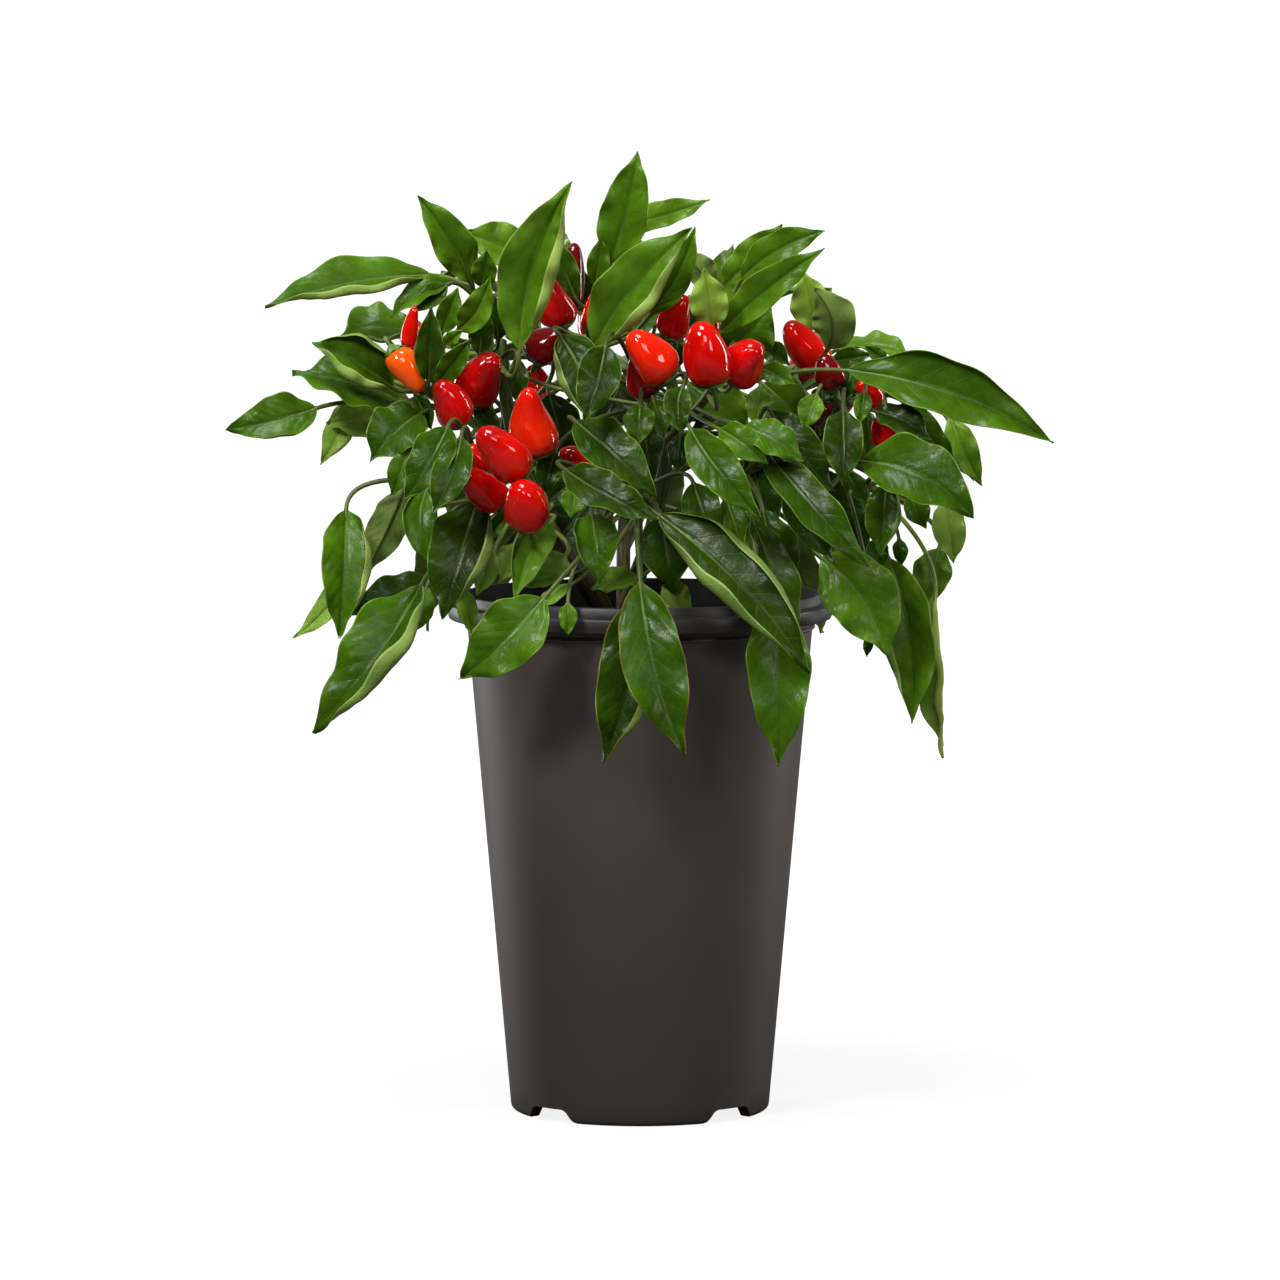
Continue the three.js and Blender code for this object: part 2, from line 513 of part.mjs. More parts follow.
function soilSolid() {
  const wallFoot = FLOOR_TOP + FLOOR_CORNER;
  const beadHeight = FLANGE_TOP - FLANGE_HEIGHT - BEAD_BELOW_FLANGE;
  const slope = (WALL_TOP_RADIUS - WALL_FOOT_RADIUS) / (beadHeight - wallFoot);
  const footRadius = WALL_FOOT_RADIUS - POT_WALL - SOIL_GAP;
  const levels = [
    [footRadius - FLOOR_CORNER, FLOOR_TOP + SOIL_GAP],
    [footRadius + slope * SOIL_GAP, wallFoot + SOIL_GAP],
    [footRadius + slope * (SOIL_TOP - wallFoot), SOIL_TOP],
    ...SOIL_TOP_RADII.map((radius) => [radius, null]),
  ];
  const rings = levels.map(([radius, height]) => {
    const ring = [];
    for (let side = 0; side < SOIL_SIDES; side += 1) {
      const angle = (2 * Math.PI * side) / SOIL_SIDES;
      const z = height === null ? soilHeight(radius, angle) : height;
      ring.push(new THREE.Vector3(radius * Math.cos(angle), radius * Math.sin(angle), z));
    }
    return ring;
  });
  return ringSolid(rings, new THREE.Vector3(0, 0, soilHeight(0, 0)));
}

// Main stem, plain or grown by a clearance for the holes it stands in
function mainStemSolid(clearance) {
  const limbs = MAIN_STEMS.map(({ path, radii }) => {
    const grown = radii.map((radius) => radius + clearance);
    return taperedTube(path.map(placed), grown, MAIN_LIMB_SIDES, (path.length - 1) * 2);
  });
  return wasm.Manifold.union(limbs);
}

// Leaf blade: a folded, arched and slightly wavy plate. Its outline is a share of half the width
// that grows from nothing at the base to 1 before the middle and narrows to nothing at the tip.
const OUTLINE = { scale: 3.545, basePower: 0.8, tipPower: 1.05 };

function bladeHalfWidth(along) {
  return OUTLINE.scale * Math.pow(along, OUTLINE.basePower) * Math.pow(1 - along, OUTLINE.tipPower);
}

function bladeFrame(leaf) {
  const [number, base, tip, width, faces, arch, sway, fold] = leaf;
  const start = placed(base);
  const end = placed(tip);
  const along = end.clone().sub(start);
  const length = along.length();
  along.normalize();
  const facing = new THREE.Vector3(...faces);
  facing.addScaledVector(along, -facing.dot(along)).normalize();
  const right = new THREE.Vector3().crossVectors(along, facing);
  return { number, start, end, along, facing, right, length, width, arch, sway,
    fold: THREE.MathUtils.degToRad(fold) };
}

function midribPoint(frame, t) {
  const bulge = 4 * t * (1 - t);
  return frame.start.clone()
    .addScaledVector(frame.along, frame.length * t)
    .addScaledVector(frame.facing, frame.arch * bulge)
    .addScaledVector(frame.right, frame.sway * bulge);
}

// A point of the blade: t runs from base to tip, u from the left edge (-1) to the right edge (1)
function bladePoint(frame, t, u, lift) {
  const slope = 4 * (1 - 2 * t);
  const tangent = frame.along.clone().multiplyScalar(frame.length)
    .addScaledVector(frame.facing, frame.arch * slope)
    .addScaledVector(frame.right, frame.sway * slope)
    .normalize();
  const normal = frame.facing.clone();
  normal.addScaledVector(tangent, -normal.dot(tangent)).normalize();
  const side = new THREE.Vector3().crossVectors(tangent, normal);
  const half = (frame.width / 2) * bladeHalfWidth(t) * u;
  const wave = BLADE_WAVE * frame.width * u * u * Math.sin(9 * t + frame.number + (u > 0 ? 2 : 0));
  return midribPoint(frame, t)
    .addScaledVector(side, half * Math.cos(frame.fold))
    .addScaledVector(normal, Math.abs(half) * Math.sin(frame.fold) + wave + lift);
}

// A stalk leaves its side stem a little before the nearest point and bends into its leaf or fruit
function stalkPoints(stemCurve, target, arrival, segments) {
  const tries = 40;
  let nearest = 0;
  let shortest = Infinity;
  for (let step = 0; step <= tries; step += 1) {
    const distance = stemCurve.getPointAt(step / tries).distanceTo(target);
    if (distance < shortest) {
      shortest = distance;
      nearest = step / tries;
    }
  }
  const setBack = (0.45 * shortest) / stemCurve.getLength();
  const root = stemCurve.getPointAt(THREE.MathUtils.clamp(nearest - setBack, 0.12, 0.97));
  const bend = target.clone().addScaledVector(arrival, -0.4 * root.distanceTo(target));
  return new THREE.QuadraticBezierCurve3(root, bend, target).getPoints(segments);
}

// The three-sided stalk of a leaf, ring by ring from its root to the blade, turned so that
// its last ring lies with the blade: left, top, right
function petioleRings(stemCurve, frame) {
  const arrival = midribPoint(frame, 0.02).sub(frame.start).normalize();
  const points = stalkPoints(stemCurve, frame.start, arrival, frame.length > SMALL_LEAF ? 2 : 1);
  const rings = [];
  let side = bladePoint(frame, 0.3, 1, 0).sub(bladePoint(frame, 0.3, -1, 0));
  for (let index = points.length - 1; index >= 0; index -= 1) {
    const before = points[Math.max(index - 1, 0)];
    const after = points[Math.min(index + 1, points.length - 1)];
    const tangent = after.clone().sub(before).normalize();
    side = side.clone().addScaledVector(tangent, -side.dot(tangent)).normalize();
    const normal = new THREE.Vector3().crossVectors(side, tangent);
    const radius = PETIOLE_RADIUS * (index === 0 ? 1.15 : 1);
    rings.unshift([-1, 0, 1].map((across) => points[index].clone()
      .addScaledVector(side, radius * across)
      .addScaledVector(normal, radius * (across === 0 ? 1 : -0.7))));
  }
  return rings;
}

// Where a blade has its cross ribs, as shares of its length: fewer on small leaves and on the far side
function bladeStations({ length, number }) {
  if (length <= SMALL_LEAF) {
    return [0.3, 0.68];
  }
  if (length <= LARGE_LEAF || number >= FIRST_FAR_LEAF) {
    return [0.17, 0.44, 0.76];
  }
  return [0.13, 0.33, 0.56, 0.8];
}

// A whole leaf: the stalk's rings, then the blade's stations (left, middle and right above,
// the same three below), then the tip above and below. Both faces are split alike.
function leafSolid(stemCurve, frame) {
  const stations = bladeStations(frame);
  const half = BLADE_THICKNESS / 2;
  const stalk = petioleRings(stemCurve, frame);
  const points = stalk.flat();
  const faces = [[0, 2, 1]];
  const quad = (a, b, c, d) => faces.push([a, b, c], [a, c, d]);
  for (let ring = 0; ring + 1 < stalk.length; ring += 1) {
    for (let corner = 0; corner < 3; corner += 1) {
      const next = (corner + 1) % 3;
      quad(3 * ring + corner, 3 * ring + next, 3 * ring + next + 3, 3 * ring + corner + 3);
    }
  }
  const [left, top, right] = [0, 1, 2].map((corner) => 3 * (stalk.length - 1) + corner);
  const blade = points.length;
  for (const t of stations) {
    for (const lift of [half, -half]) {
      for (const u of [-1, 0, 1]) {
        points.push(bladePoint(frame, t, u, lift));
      }
    }
  }
  points.push(bladePoint(frame, 1, 0, half), bladePoint(frame, 1, 0, -half));

  quad(left, top, blade + 1, blade);
  quad(top, right, blade + 2, blade + 1);
  faces.push([right, left, blade + 4], [left, blade + 3, blade + 4], [right, blade + 4, blade + 5]);
  faces.push([right, blade + 5, blade + 2], [left, blade, blade + 3]);
  for (let station = 0; station + 1 < stations.length; station += 1) {
    const a = blade + 6 * station;
    const b = a + 6;
    quad(a, a + 1, b + 1, b);
    quad(a + 1, a + 2, b + 2, b + 1);
    faces.push([a + 3, b + 4, a + 4], [a + 3, b + 3, b + 4], [a + 4, b + 5, a + 5], [a + 4, b + 4, b + 5]);
    quad(a, b, b + 3, a + 3);
    quad(a + 2, a + 5, b + 5, b + 2);
  }
  const last = blade + 6 * (stations.length - 1);
  const tipTop = points.length - 2;
  const tipBottom = points.length - 1;
  faces.push([last, last + 1, tipTop], [last + 1, last + 2, tipTop]);
  faces.push([last + 4, last + 3, tipBottom], [last + 5, last + 4, tipBottom]);
  quad(last, tipTop, tipBottom, last + 3);
  quad(last + 2, last + 5, tipBottom, tipTop);
  return facetedSolid(points, faces);
}

// Fruit: a rounded cone with shoulders, standing on its calyx.
// Each ring is its share of the length and its share of the full width.
const FRUIT_PROFILE = [[0, 0.5], [0.1, 0.86], [0.35, 1], [0.66, 0.85], [0.9, 0.5]];

function fruitSolid([, stemEnd, tip, width]) {
  const start = placed(stemEnd);
  const end = placed(tip);
  const axis = end.clone().sub(start).normalize();
  const length = end.distanceTo(start);
  const rings = FRUIT_PROFILE.map(([along, share]) => (
    ringAround(start.clone().addScaledVector(axis, along * length), axis, (share * width) / 2, FRUIT_SIDES)
  ));
  return ringSolid(rings, end);
}

// The stalk of a fruit, widening into the calyx under it
function calyxSolid(stemCurve, [, stemEnd, tip, width]) {
  const start = placed(stemEnd);
  const axis = placed(tip).sub(start).normalize();
  const seat = start.clone().addScaledVector(axis, -GAP);
  const neck = seat.clone().addScaledVector(axis, -CALYX_HEIGHT);
  const points = [...stalkPoints(stemCurve, neck, axis, 2), seat];
  const rings = points.map((point, index) => {
    const before = points[Math.max(index - 1, 0)];
    const after = points[Math.min(index + 1, points.length - 1)];
    const radius = index === points.length - 1 ? (CALYX_SHARE * width) / 2 : PEDICEL_RADIUS;
    return ringAround(point, after.clone().sub(before).normalize(), radius, PEDICEL_SIDES);
  });
  return ringSolid(rings, null);
}

// A cut may leave a scrap beside the body, which is dropped
function largestBody(solid) {
  return solid.decompose().reduce((best, body) => (body.volume() > best.volume() ? body : best));
}

function sideStemSolid({ path, radii, leaves, fruits }) {
  const points = path.map(placed);
  const stemCurve = new THREE.CatmullRomCurve3(points, false, "centripetal");
  const parts = [taperedTube(points, radii, SIDE_STEM_SIDES, (path.length - 1) * 2)];
  for (const leaf of leaves) {
    parts.push(leafSolid(stemCurve, bladeFrame(leaf)));
  }
  for (const fruit of fruits) {
    parts.push(calyxSolid(stemCurve, fruit));
  }
  return wasm.Manifold.union(parts);
}

const plant = new THREE.Group();
const socket = mainStemSolid(GAP);
plant.add(meshOf("pot", potSolid(), materials.pot));
plant.add(meshOf("soil", soilSolid().subtract(socket), materials.soil));
plant.add(meshOf("main_stem", mainStemSolid(0), materials.stem));
for (const stem of allStems) {
  plant.add(meshOf(stem.name, largestBody(sideStemSolid(stem).subtract(socket)), materials.leaf));
  for (const fruit of stem.fruits) {
    plant.add(meshOf(`fruit_${String(fruit[0]).padStart(2, "0")}`, fruitSolid(fruit), materials.fruit));
  }
}

export default plant;
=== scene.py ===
import math

import bmesh
import bpy
import numpy as np
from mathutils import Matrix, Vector, noise


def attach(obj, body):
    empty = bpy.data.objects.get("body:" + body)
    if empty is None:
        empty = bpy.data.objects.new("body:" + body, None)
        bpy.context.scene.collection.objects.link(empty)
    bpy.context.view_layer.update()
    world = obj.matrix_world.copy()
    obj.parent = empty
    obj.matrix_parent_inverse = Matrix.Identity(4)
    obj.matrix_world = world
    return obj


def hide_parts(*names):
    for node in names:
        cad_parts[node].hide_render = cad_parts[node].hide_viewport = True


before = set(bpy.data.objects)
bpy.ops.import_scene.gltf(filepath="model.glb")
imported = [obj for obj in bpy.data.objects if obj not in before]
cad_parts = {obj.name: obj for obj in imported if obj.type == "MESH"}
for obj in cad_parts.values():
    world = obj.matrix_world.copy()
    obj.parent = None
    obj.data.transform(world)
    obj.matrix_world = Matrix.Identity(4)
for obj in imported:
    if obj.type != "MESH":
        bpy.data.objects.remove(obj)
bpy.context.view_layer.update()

# A potted chilli pepper plant. Sizes are in millimetres until a mesh is made.
MM = 0.001

# Pot
POT_SIDES = 192
POT_WALL = 1.6
FOOT_RADIUS = 46.8
WALL_FOOT_RADIUS = 48.6
WALL_TOP_RADIUS = 64.6
FLANGE_RADIUS = 71.9
FLANGE_TOP = 191
FLANGE_HEIGHT = 5.6
COLLAR_RADIUS = 67.4
COLLAR_RISE = 3.8
BEAD_BELOW_FLANGE = 3.2
FLOOR_UNDERSIDE = 6
FLOOR_TOP = 8
FLOOR_CORNER = 2
FOOT_RING_WIDTH = 3.6
FOOT_COUNT = 4
NOTCH_HEIGHT = 5
NOTCH_TOP_WIDTH = 15
NOTCH_BOTTOM_WIDTH = 25
NOTCH_DEPTH = 16
DRAIN_WIDTH = 13
DRAIN_LENGTH = 7
DRAIN_HEIGHT = 6
DRAIN_FROM_EDGE = 2
WALL_RINGS = 24
SHARP_ANGLE = math.radians(38)

# Soil
SOIL_TOP = 181
SOIL_GAP = 0.4
SOIL_SIDES = 144
SOIL_RINGS = 52
CRUMBS = 900

# Plant
CURVE_STEPS = 60
STEM_STEPS = 40
STEM_SIDES = 12
STEM_LOBES = 0.06
TRUNK_STEPS = 90
TRUNK_SIDES = 18
TRUNK_LOBES = 0.05
STALK_STEPS = 14
PEDICEL_STEPS = 12
STALK_SIDES = 8
PETIOLE_RADIUS = 0.85
PEDICEL_RADIUS = 0.8

# Leaf blades. Waves, ripples and puckers are shares of the width.
MOST_LEAVES = 250
BLADE_THICKNESS = 0.5
SMALL_LEAF = 20
LARGE_LEAF = 32
TIP_NARROWING = 0.24
SIDE_VEINS = 8
LEAST_VEIN_SPACING = 3.6
GROOVE_DEPTH = 0.45
WAVE = 0.055
RIPPLE = 0.06
PUCKER = 0.022

# Fruits
FRUIT_ROWS = 40
FRUIT_SIDES = 40
FRUIT_RADIUS_SHARE = 0.97
CALYX_SIDES = 30
CALYX_HEIGHT = 2.6
CALYX_SINK = 0.35
CALYX_TONE = 0.6

# Half the width of the floor that the pot is shown on
FLOOR_HALF = 2600

# The plant is laid out as it lines up for an eye in front of it. A point is given as
# [across, depth, height]: where its line of sight meets the upright plane through the pot's axis,
# and how far behind that plane it lies. Heights there are measured square to the line of sight.
EYE = np.array([0.0, -3000.0, 452.0])
SIGHT_TILT = math.radians(5.24)


def placed(point):
    across, depth, height = point
    on_plane = np.array([across, 0.0, height / math.cos(SIGHT_TILT)])
    return on_plane + (on_plane - EYE) * (depth / -EYE[1])


# Main stem: a trunk in the soil that forks just above it
MAIN_STEMS = [
    ([3.4, 4.6, 3.6, 3.0, 2.6, 2.2],
     [[-10, 6, 148], [-13, 4, 184], [-32, -6, 214], [-44, -10, 240], [-50, -8, 266], [-52, -4, 288]]),
    ([3.0, 4.0, 3.0, 2.7, 2.4, 2.0],
     [[-9, 6, 160], [-4, 3, 190], [4, -2, 216], [9, -4, 240], [13, 0, 264], [6, 4, 290]]),
    ([2.6, 2.4, 2.2, 1.9], [[4, -2, 214], [26, 6, 232], [52, 8, 246], [74, 6, 262]]),
    ([2.8, 2.6, 2.3, 2.0], [[-6, 4, 184], [-6, 24, 212], [-4, 34, 244], [0, 38, 270]]),
]

# The upper side of most leaves faces the front
FRONT = [0, -3, 1]

# Side stems: name, radii, path, leaves and fruits.
# A leaf is [number, base, tip, width, upper side faces, arch, sway, fold]: base and tip as [across, depth,
# height], arch the rise of the midrib towards the upper side, sway its bulge to the right as the upper side
# shows it tip up, fold the lift of each half in degrees. What a row leaves out at its end is as in LEAF_REST.
# A fruit is [number, stem end, tip, width].
LEAF_REST = [FRONT, 1, 0, 16]
SIDE_STEMS = [
("left_top", [2.1, 1.7, 1.2], [[-51, -6, 276], [-60, -10, 296], [-64, -6, 314]], [
  [1, [-78, -6, 312.5], [-140, -26, 301], 19.5, [0, -4, 3], 1.5, 2.5, 18],
  [2, [-63, -14, 310], [-83, -24, 342], 16.5, FRONT, 3, 1, 22],
  [3, [-45, -50, 285], [-25.5, -60, 347], 26, FRONT, -2, -4.5, 28],
  [4, [-42, 12, 319], [-66, 4, 328.5], 18, FRONT, 2, 0, 15],
  [5, [-70, -6, 310], [-93, -14, 297], 11.5, [0, -2, 2], 4, 0, 20],
  [6, [-84, 10, 290], [-114, 4, 288], 22, [0, -2, 2], 6, 0, 12],
  [16, [-68, -28, 292], [-56, -36, 312], 12, [0, -3, 0], 2, 2, 20],
  [15, [-74, -20, 291], [-68, -22, 308], 10, [0, -3, 0], 1, 0, 22],
  [17, [-60, -24, 283], [-58, -26, 301], 10, [0, -3, 0], 1, 0, 20],
  [18, [-73, -30, 286], [-66, -34, 292], 6, FRONT, 1, 0, 20],
  [235, [-72, -12, 309], [-84, -14, 299], 9],
  [216, [-46, -20, 282], [-45, -22, 263], 8],
  [217, [-53, -16, 288], [-54, -20, 305], 8, [0, -3, 0]],
  [218, [-59, -18, 308], [-57, -22, 322], 10, [0, -3, 0]],
], []),
("left_far", [2.2, 1.8, 1.3], [[-46, -11, 246], [-66, -20, 260], [-84, -22, 272]], [
  [7, [-93, -24, 271], [-122.5, -28, 287.5], 22, [0, -2, 1], 4, 0, 24],
  [8, [-90, -17, 266], [-130, -22, 276], 27, [0, -2, 2], 4, -1],
  [9, [-121, -30, 263], [-155, -38, 255], 18.5, FRONT, 4, -2, 14],
  [10, [-84, -2, 263], [-117, -6, 257], 22, FRONT, 3, 0, 12],
  [11, [-106.5, 2, 267], [-119.5, -4, 242], 12, FRONT, 2, -1, 14],
  [12, [-82, -34, 261], [-101, -44, 243], 22, [0, -3, 2], 4, 0, 18],
  [13, [-79, -38, 273], [-78, -44, 301], 12, [0, -3, 0], 2, 0, 24],
  [14, [-75, -40, 273], [-63, -48, 289], 10, [0, -3, 0], 2, 0, 22],
  [207, [-80, 18, 268], [-108, 28, 266], 19, [-1, 1, 3], 4],
  [208, [-68, 16, 250], [-86, 26, 224], 20, [-3, 1, 2], 4],
  [233, [-62, -22, 263], [-52, -24, 254], 8],
  [234, [-84, -28, 268], [-78, -30, 255], 8],
], [
  [1, [-92, -36, 284], [-82, -38, 269], 12],
  [2, [-87, -30, 286], [-84, -32, 301], 6.5],
  [3, [-68, -39, 258], [-75, -49, 273], 15],
  [4, [-63, -22, 266], [-54, -30, 283], 18],
  [27, [-77, -26, 275], [-76, -28, 287], 8],
]),
("left_low", [2.2, 1.9, 1.4], [[-34, -7, 217], [-54, -26, 230], [-74, -34, 240]], [
  [60, [-33, -32, 221], [-47, -56, 191], 15, FRONT, 3, 2, 18],
  [80, [-72, -62, 256], [-88, -72, 229], 17, [0, -3, 2], 4, -2],
  [81, [-67, -67, 252], [-78, -79, 223], 15, [0, -3, 2], 3, -2, 18],
  [83, [-80, -48, 232], [-79, -56, 205], 14, FRONT, 3, 3, 18],
  [84, [-61, -44, 228], [-74, -62, 184], 26, FRONT, 5, 0, 18],
  [88, [-110, -34, 225], [-113, -48, 177], 21, [1, -3, 1], 4, 0.5, 20],
  [89, [-88.5, -16, 233], [-103, -20, 201], 15, [0, 3, 1], -3, 0, 10],
  [90, [-107, -8, 205], [-130, -14, 177], 10, FRONT, 2, -3, 14],
  [91, [-82, -46, 197], [-123, -62, 141.5], 29, [-1, -3, 2], 6, -6.5, 20],
  [93, [-76, -24, 196], [-109, -32, 185.5], 18, [0, -3, 2], 3, 0, 14],
  [209, [-58, 22, 234], [-76, 31, 204], 18, [-3, 1, 1], 4],
  [85, [-66, -36, 195], [-63, -48, 178], 8, FRONT, 1, 0, 14],
  [87, [-47, -32, 212], [-52, -36, 198], 11, FRONT, 1, 0, 14],
  [82, [-86, -46, 248], [-93, -50, 230], 10, FRONT, 2],
  [86, [-55, -40, 209], [-61, -46, 193], 10, FRONT, 2],
  [92, [-80, -34, 196], [-86, -38, 178], 12, FRONT, 2],
  [219, [-28, -26, 208], [-38, -30, 197], 13],
  [223, [-27, -20, 234], [-37, -22, 226], 10],
  [224, [-51, -20, 224], [-57, -22, 213], 8],
], [
  [6, [-44.5, -70, 239], [-60, -80, 255], 17],
  [7, [-58, -50, 240], [-65, -52, 249], 11],
  [8, [-52, -56, 227.5], [-67, -64, 240.5], 14],
  [9, [-42, -70, 220.5], [-45, -84, 234.5], 17.5],
]),
("top", [1.9, 1.6, 1.2], [[9, 2, 280], [-6, -2, 296], [-10, -6, 314]], [
  [20, [-11, -12, 317], [-1, -16, 358.5], 20, FRONT, 3, 1.5, 18],
  [21, [-8, 4, 330], [26, -2, 340.5], 11.5, [0, -2, 1], 1, 1],
  [24, [4, -38, 298], [20.5, -44, 330.5], 12, [0, -3, 0], 2, 2],
  [25, [28, -10, 309], [16, -12, 322], 12, [0, 3, 1], -2, 0, 10],
  [240, [-16, 8, 278], [-42, 14, 276], 16, [-1, 0, 4], 4],
  [241, [14, 0, 294], [38, -8, 295], 16, [1, 0, 4], 4],
  [22, [-16.5, -14, 308], [-14.5, -16, 327], 9, [0, -3, 0]],
  [228, [14, -20, 290], [14, -24, 277], 8],
  [237, [-24, -12, 304], [-34.5, -13, 328], 11],
], [
  [11, [-29, -22, 294.5], [-34.5, -26, 311.5], 15],
  [12, [-28, 3, 299], [-24.3, 3, 324.5], 13],
  [13, [-19, -8, 293], [-16.5, -12, 306.5], 9],
]),
("centre", [2.1, 1.8, 1.4], [[10, -4, 256], [2, -22, 266], [-6, -32, 278]], [
  [23, [-17, -48, 286], [19.5, -60, 330], 24, FRONT, 4, -2],
  [72, [16, -64, 271], [16, -72, 253], 11, FRONT, 2, 2, 22],
  [73, [-13, -70, 286], [-21, -82, 258], 17, FRONT, 3, -1, 20],
  [74, [-30, -46, 290], [-19, -60, 256], 20, FRONT, 2, -3, 12],
  [75, [0, -64, 264], [-1, -70, 249], 12, FRONT, 2],
  [210, [-32, -46, 246], [-36, -52, 231], 11, FRONT, 2],
], [
  [14, [-41, 0, 284], [-27.5, -6, 291], 15],
  [15, [10, -60, 275], [-4, -66, 291], 17],
  [16, [2.5, -43.5, 268], [-2, -47, 283], 14.5],
  [17, [11, -32, 290], [17, -36, 305], 13],
]),
("right_top", [2.1, 1.8, 1.5, 1.2], [[11, -3, 252], [24, -20, 266], [34, -28, 284], [36, -24, 300]], [
  [26, [31, -22, 308], [53, -26, 331.5], 14.5, FRONT, 2, 1, 14],
  [27, [38, -30, 311], [69, -36, 329], 14, FRONT, 3, -2, 14],
  [28, [30, -42, 291], [69, -52, 322.5], 14.5, FRONT, 3, -1, 20],
  [29, [27, -50, 294], [24, -56, 315], 15, [0, -3, 0], 2],
  [30, [34, -26, 284], [49, -30, 301], 22, [0, -3, 0], 2, 0, 14],
  [35, [78, -42, 277], [154.5, -54, 250], 24, [0, -2, 1], 6, -2.5, 22],
  [98, [46, 3, 272], [62, 0, 257], 18, FRONT, 3],
  [69, [19, -74, 255], [45, -92, 222], 17, FRONT, 4, 2, 18],
  [70, [30, -70, 255], [48, -80, 242], 13, FRONT, 3],
  [71, [39, -70, 256], [61, -78, 243], 15, [0, -3, 2], 3, 0, 14],
  [229, [45, -28, 287], [56, -32, 279], 9],
  [31, [41, -16, 279], [47, -18, 296], 10],
  [76, [5, -50, 266], [9, -56, 252], 9],
  [79, [45, -42, 278], [58, -46, 272], 9],
  [220, [15, -14, 253], [14, -18, 239], 9],
  [222, [29, -12, 258], [19, -14, 255], 7],
  [227, [45, -16, 271], [43, -18, 256], 10],
], [
  [18, [27, -60, 273], [22, -68, 295], 18],
  [19, [36, -46, 274], [44, -56, 287], 17],
]),
("right_far", [2.0, 1.7, 1.3], [[70, 6, 258], [84, -4, 268], [96, -10, 268]], [
  [32, [66, 6, 292], [61, 2, 314], 16, [0, -3, 0], 1, 0, 14],
  [33, [70, -18, 285], [65, -24, 308], 18, [1, 3, 0], -2, -5, 12],
  [34, [74, 14, 285], [103, 8, 282], 15, [0, -1, 2], 3, 0, 14],
  [37, [83, -52, 243], [125, -64, 222], 27, [0, -2, 1], 6, -3, 14],
  [38, [100, -22, 265], [119, -28, 241], 12, FRONT, 3, 2],
  [39, [116, -8, 260], [128, -14, 234], 12, FRONT, 2, 1, 22],
  [77, [116, 4, 257], [125, 0, 236], 12, [0, 3, 1], -2, 0, 12],
  [40, [88, -46, 262], [109, -52, 251], 13, [0, -3, 2], 3, 0, 14],
  [41, [76, -50, 262], [76, -62, 234], 16, FRONT, 3, 0, 20],
  [203, [74, 22, 268], [104, 30, 262], 18, [1, 1, 3], 4],
  [204, [80, 18, 250], [106, 26, 226], 20, [3, 1, 2], 4],
  [206, [60, 24, 281], [80, 38, 289], 18, [1, 1, 3], 3],
  [36, [92, -12, 280], [84, -14, 286], 6],
  [236, [71, -10, 280], [87, -14, 283], 8],
  [42, [66, -36, 268], [61, -40, 255], 10],
  [43, [84, -42, 269], [82, -46, 257], 7],
  [232, [79, -24, 277], [77, -26, 266], 9],
  [221, [85, -26, 262], [86, -28, 244], 9],
  [225, [68, -14, 271], [68, -16, 261], 9],
], [
  [20, [68, -3, 279], [55, -9, 295], 15],
  [21, [72, -26, 271], [68, -30, 283], 12],
  [22, [88, -24, 264], [82, -28, 273], 10],
  [23, [95, -32, 250], [88, -36, 259], 12],
  [24, [99, -12, 255], [112, -16, 247], 9],
  [25, [62, -28, 258], [72, -30, 264], 10],
]),
("right_low", [2.0, 1.7, 1.3], [[56, 8, 250], [76, 0, 240], [94, -8, 228]], [
  [44, [92, -34, 234], [90, -42, 208], 15, FRONT, 3, 0, 18],
  [45, [114, -26, 228], [117.5, -32, 205], 13.5, FRONT, 3, 0, 20],
  [46, [112, 0, 210.5], [106, -6, 188], 15, FRONT, 2, 0, 14],
  [49, [93, -26, 207], [102, -36, 145], 21.5, [-1, -3, 1], 4, -5, 18],
  [50, [110.5, -14, 194], [114, -20, 132], 17, [-3, -2, 1], 3, -2, 18],
  [51, [68, -42, 207], [93, -52, 170], 28, FRONT, 4, -3.5, 12],
  [48, [101, -14, 230], [107, -18, 218], 10, FRONT, 1, 0, 14],
  [47, [97, -10, 214], [98, -12, 204], 6],
  [55, [86, -30, 178], [85, -32, 170], 4],
  [230, [88, -30, 214], [90, -34, 202], 9],
  [231, [77, -24, 239], [85, -28, 227], 8],
  [226, [67, -12, 257], [68, -14, 246], 8],
], []),
("inner", [2.0, 1.7, 1.4, 1.1], [[-4, 34, 246], [-3, 26, 256], [4, 20, 268], [8, 18, 280]], [
  [94, [-34, 18, 268], [-26, 12, 240], 18, FRONT, 2],
  [95, [-6, 20, 275], [-17, 12, 250], 20, FRONT, 3],
  [96, [1, 22, 258], [5, 16, 231], 16, FRONT, 2],
  [97, [18, 22, 272], [42, 16, 254], 20, FRONT, 3],
  [99, [-15, 24, 232], [-35, 14, 209], 20, FRONT, 3],
  [201, [64, 22, 240], [86, 14, 205], 20, FRONT, 3],
  [202, [42, 12, 243], [48, 6, 214], 18, FRONT, 3],
], []),
("front_right", [2.0, 1.7, 1.3], [[22, 4, 230], [36, -24, 236], [44, -40, 244]], [
  [52, [46, -64, 249], [87, -90, 202], 17, [0, -3, 2], 5, 3, 18],
  [53, [56, -56, 237], [73, -68, 205], 15, FRONT, 4, 2],
  [54, [46, -46, 225], [56, -56, 189], 20, FRONT, 4, 1, 14],
  [65, [50, -72, 192], [52, -84, 129], 24, FRONT, 4, -1, 14],
  [66, [42, -58, 222], [59, -72, 172], 17, [1, -3, 1], 4, 1, 24],
  [67, [32, -46, 230], [42, -52, 198], 12, FRONT, 3],
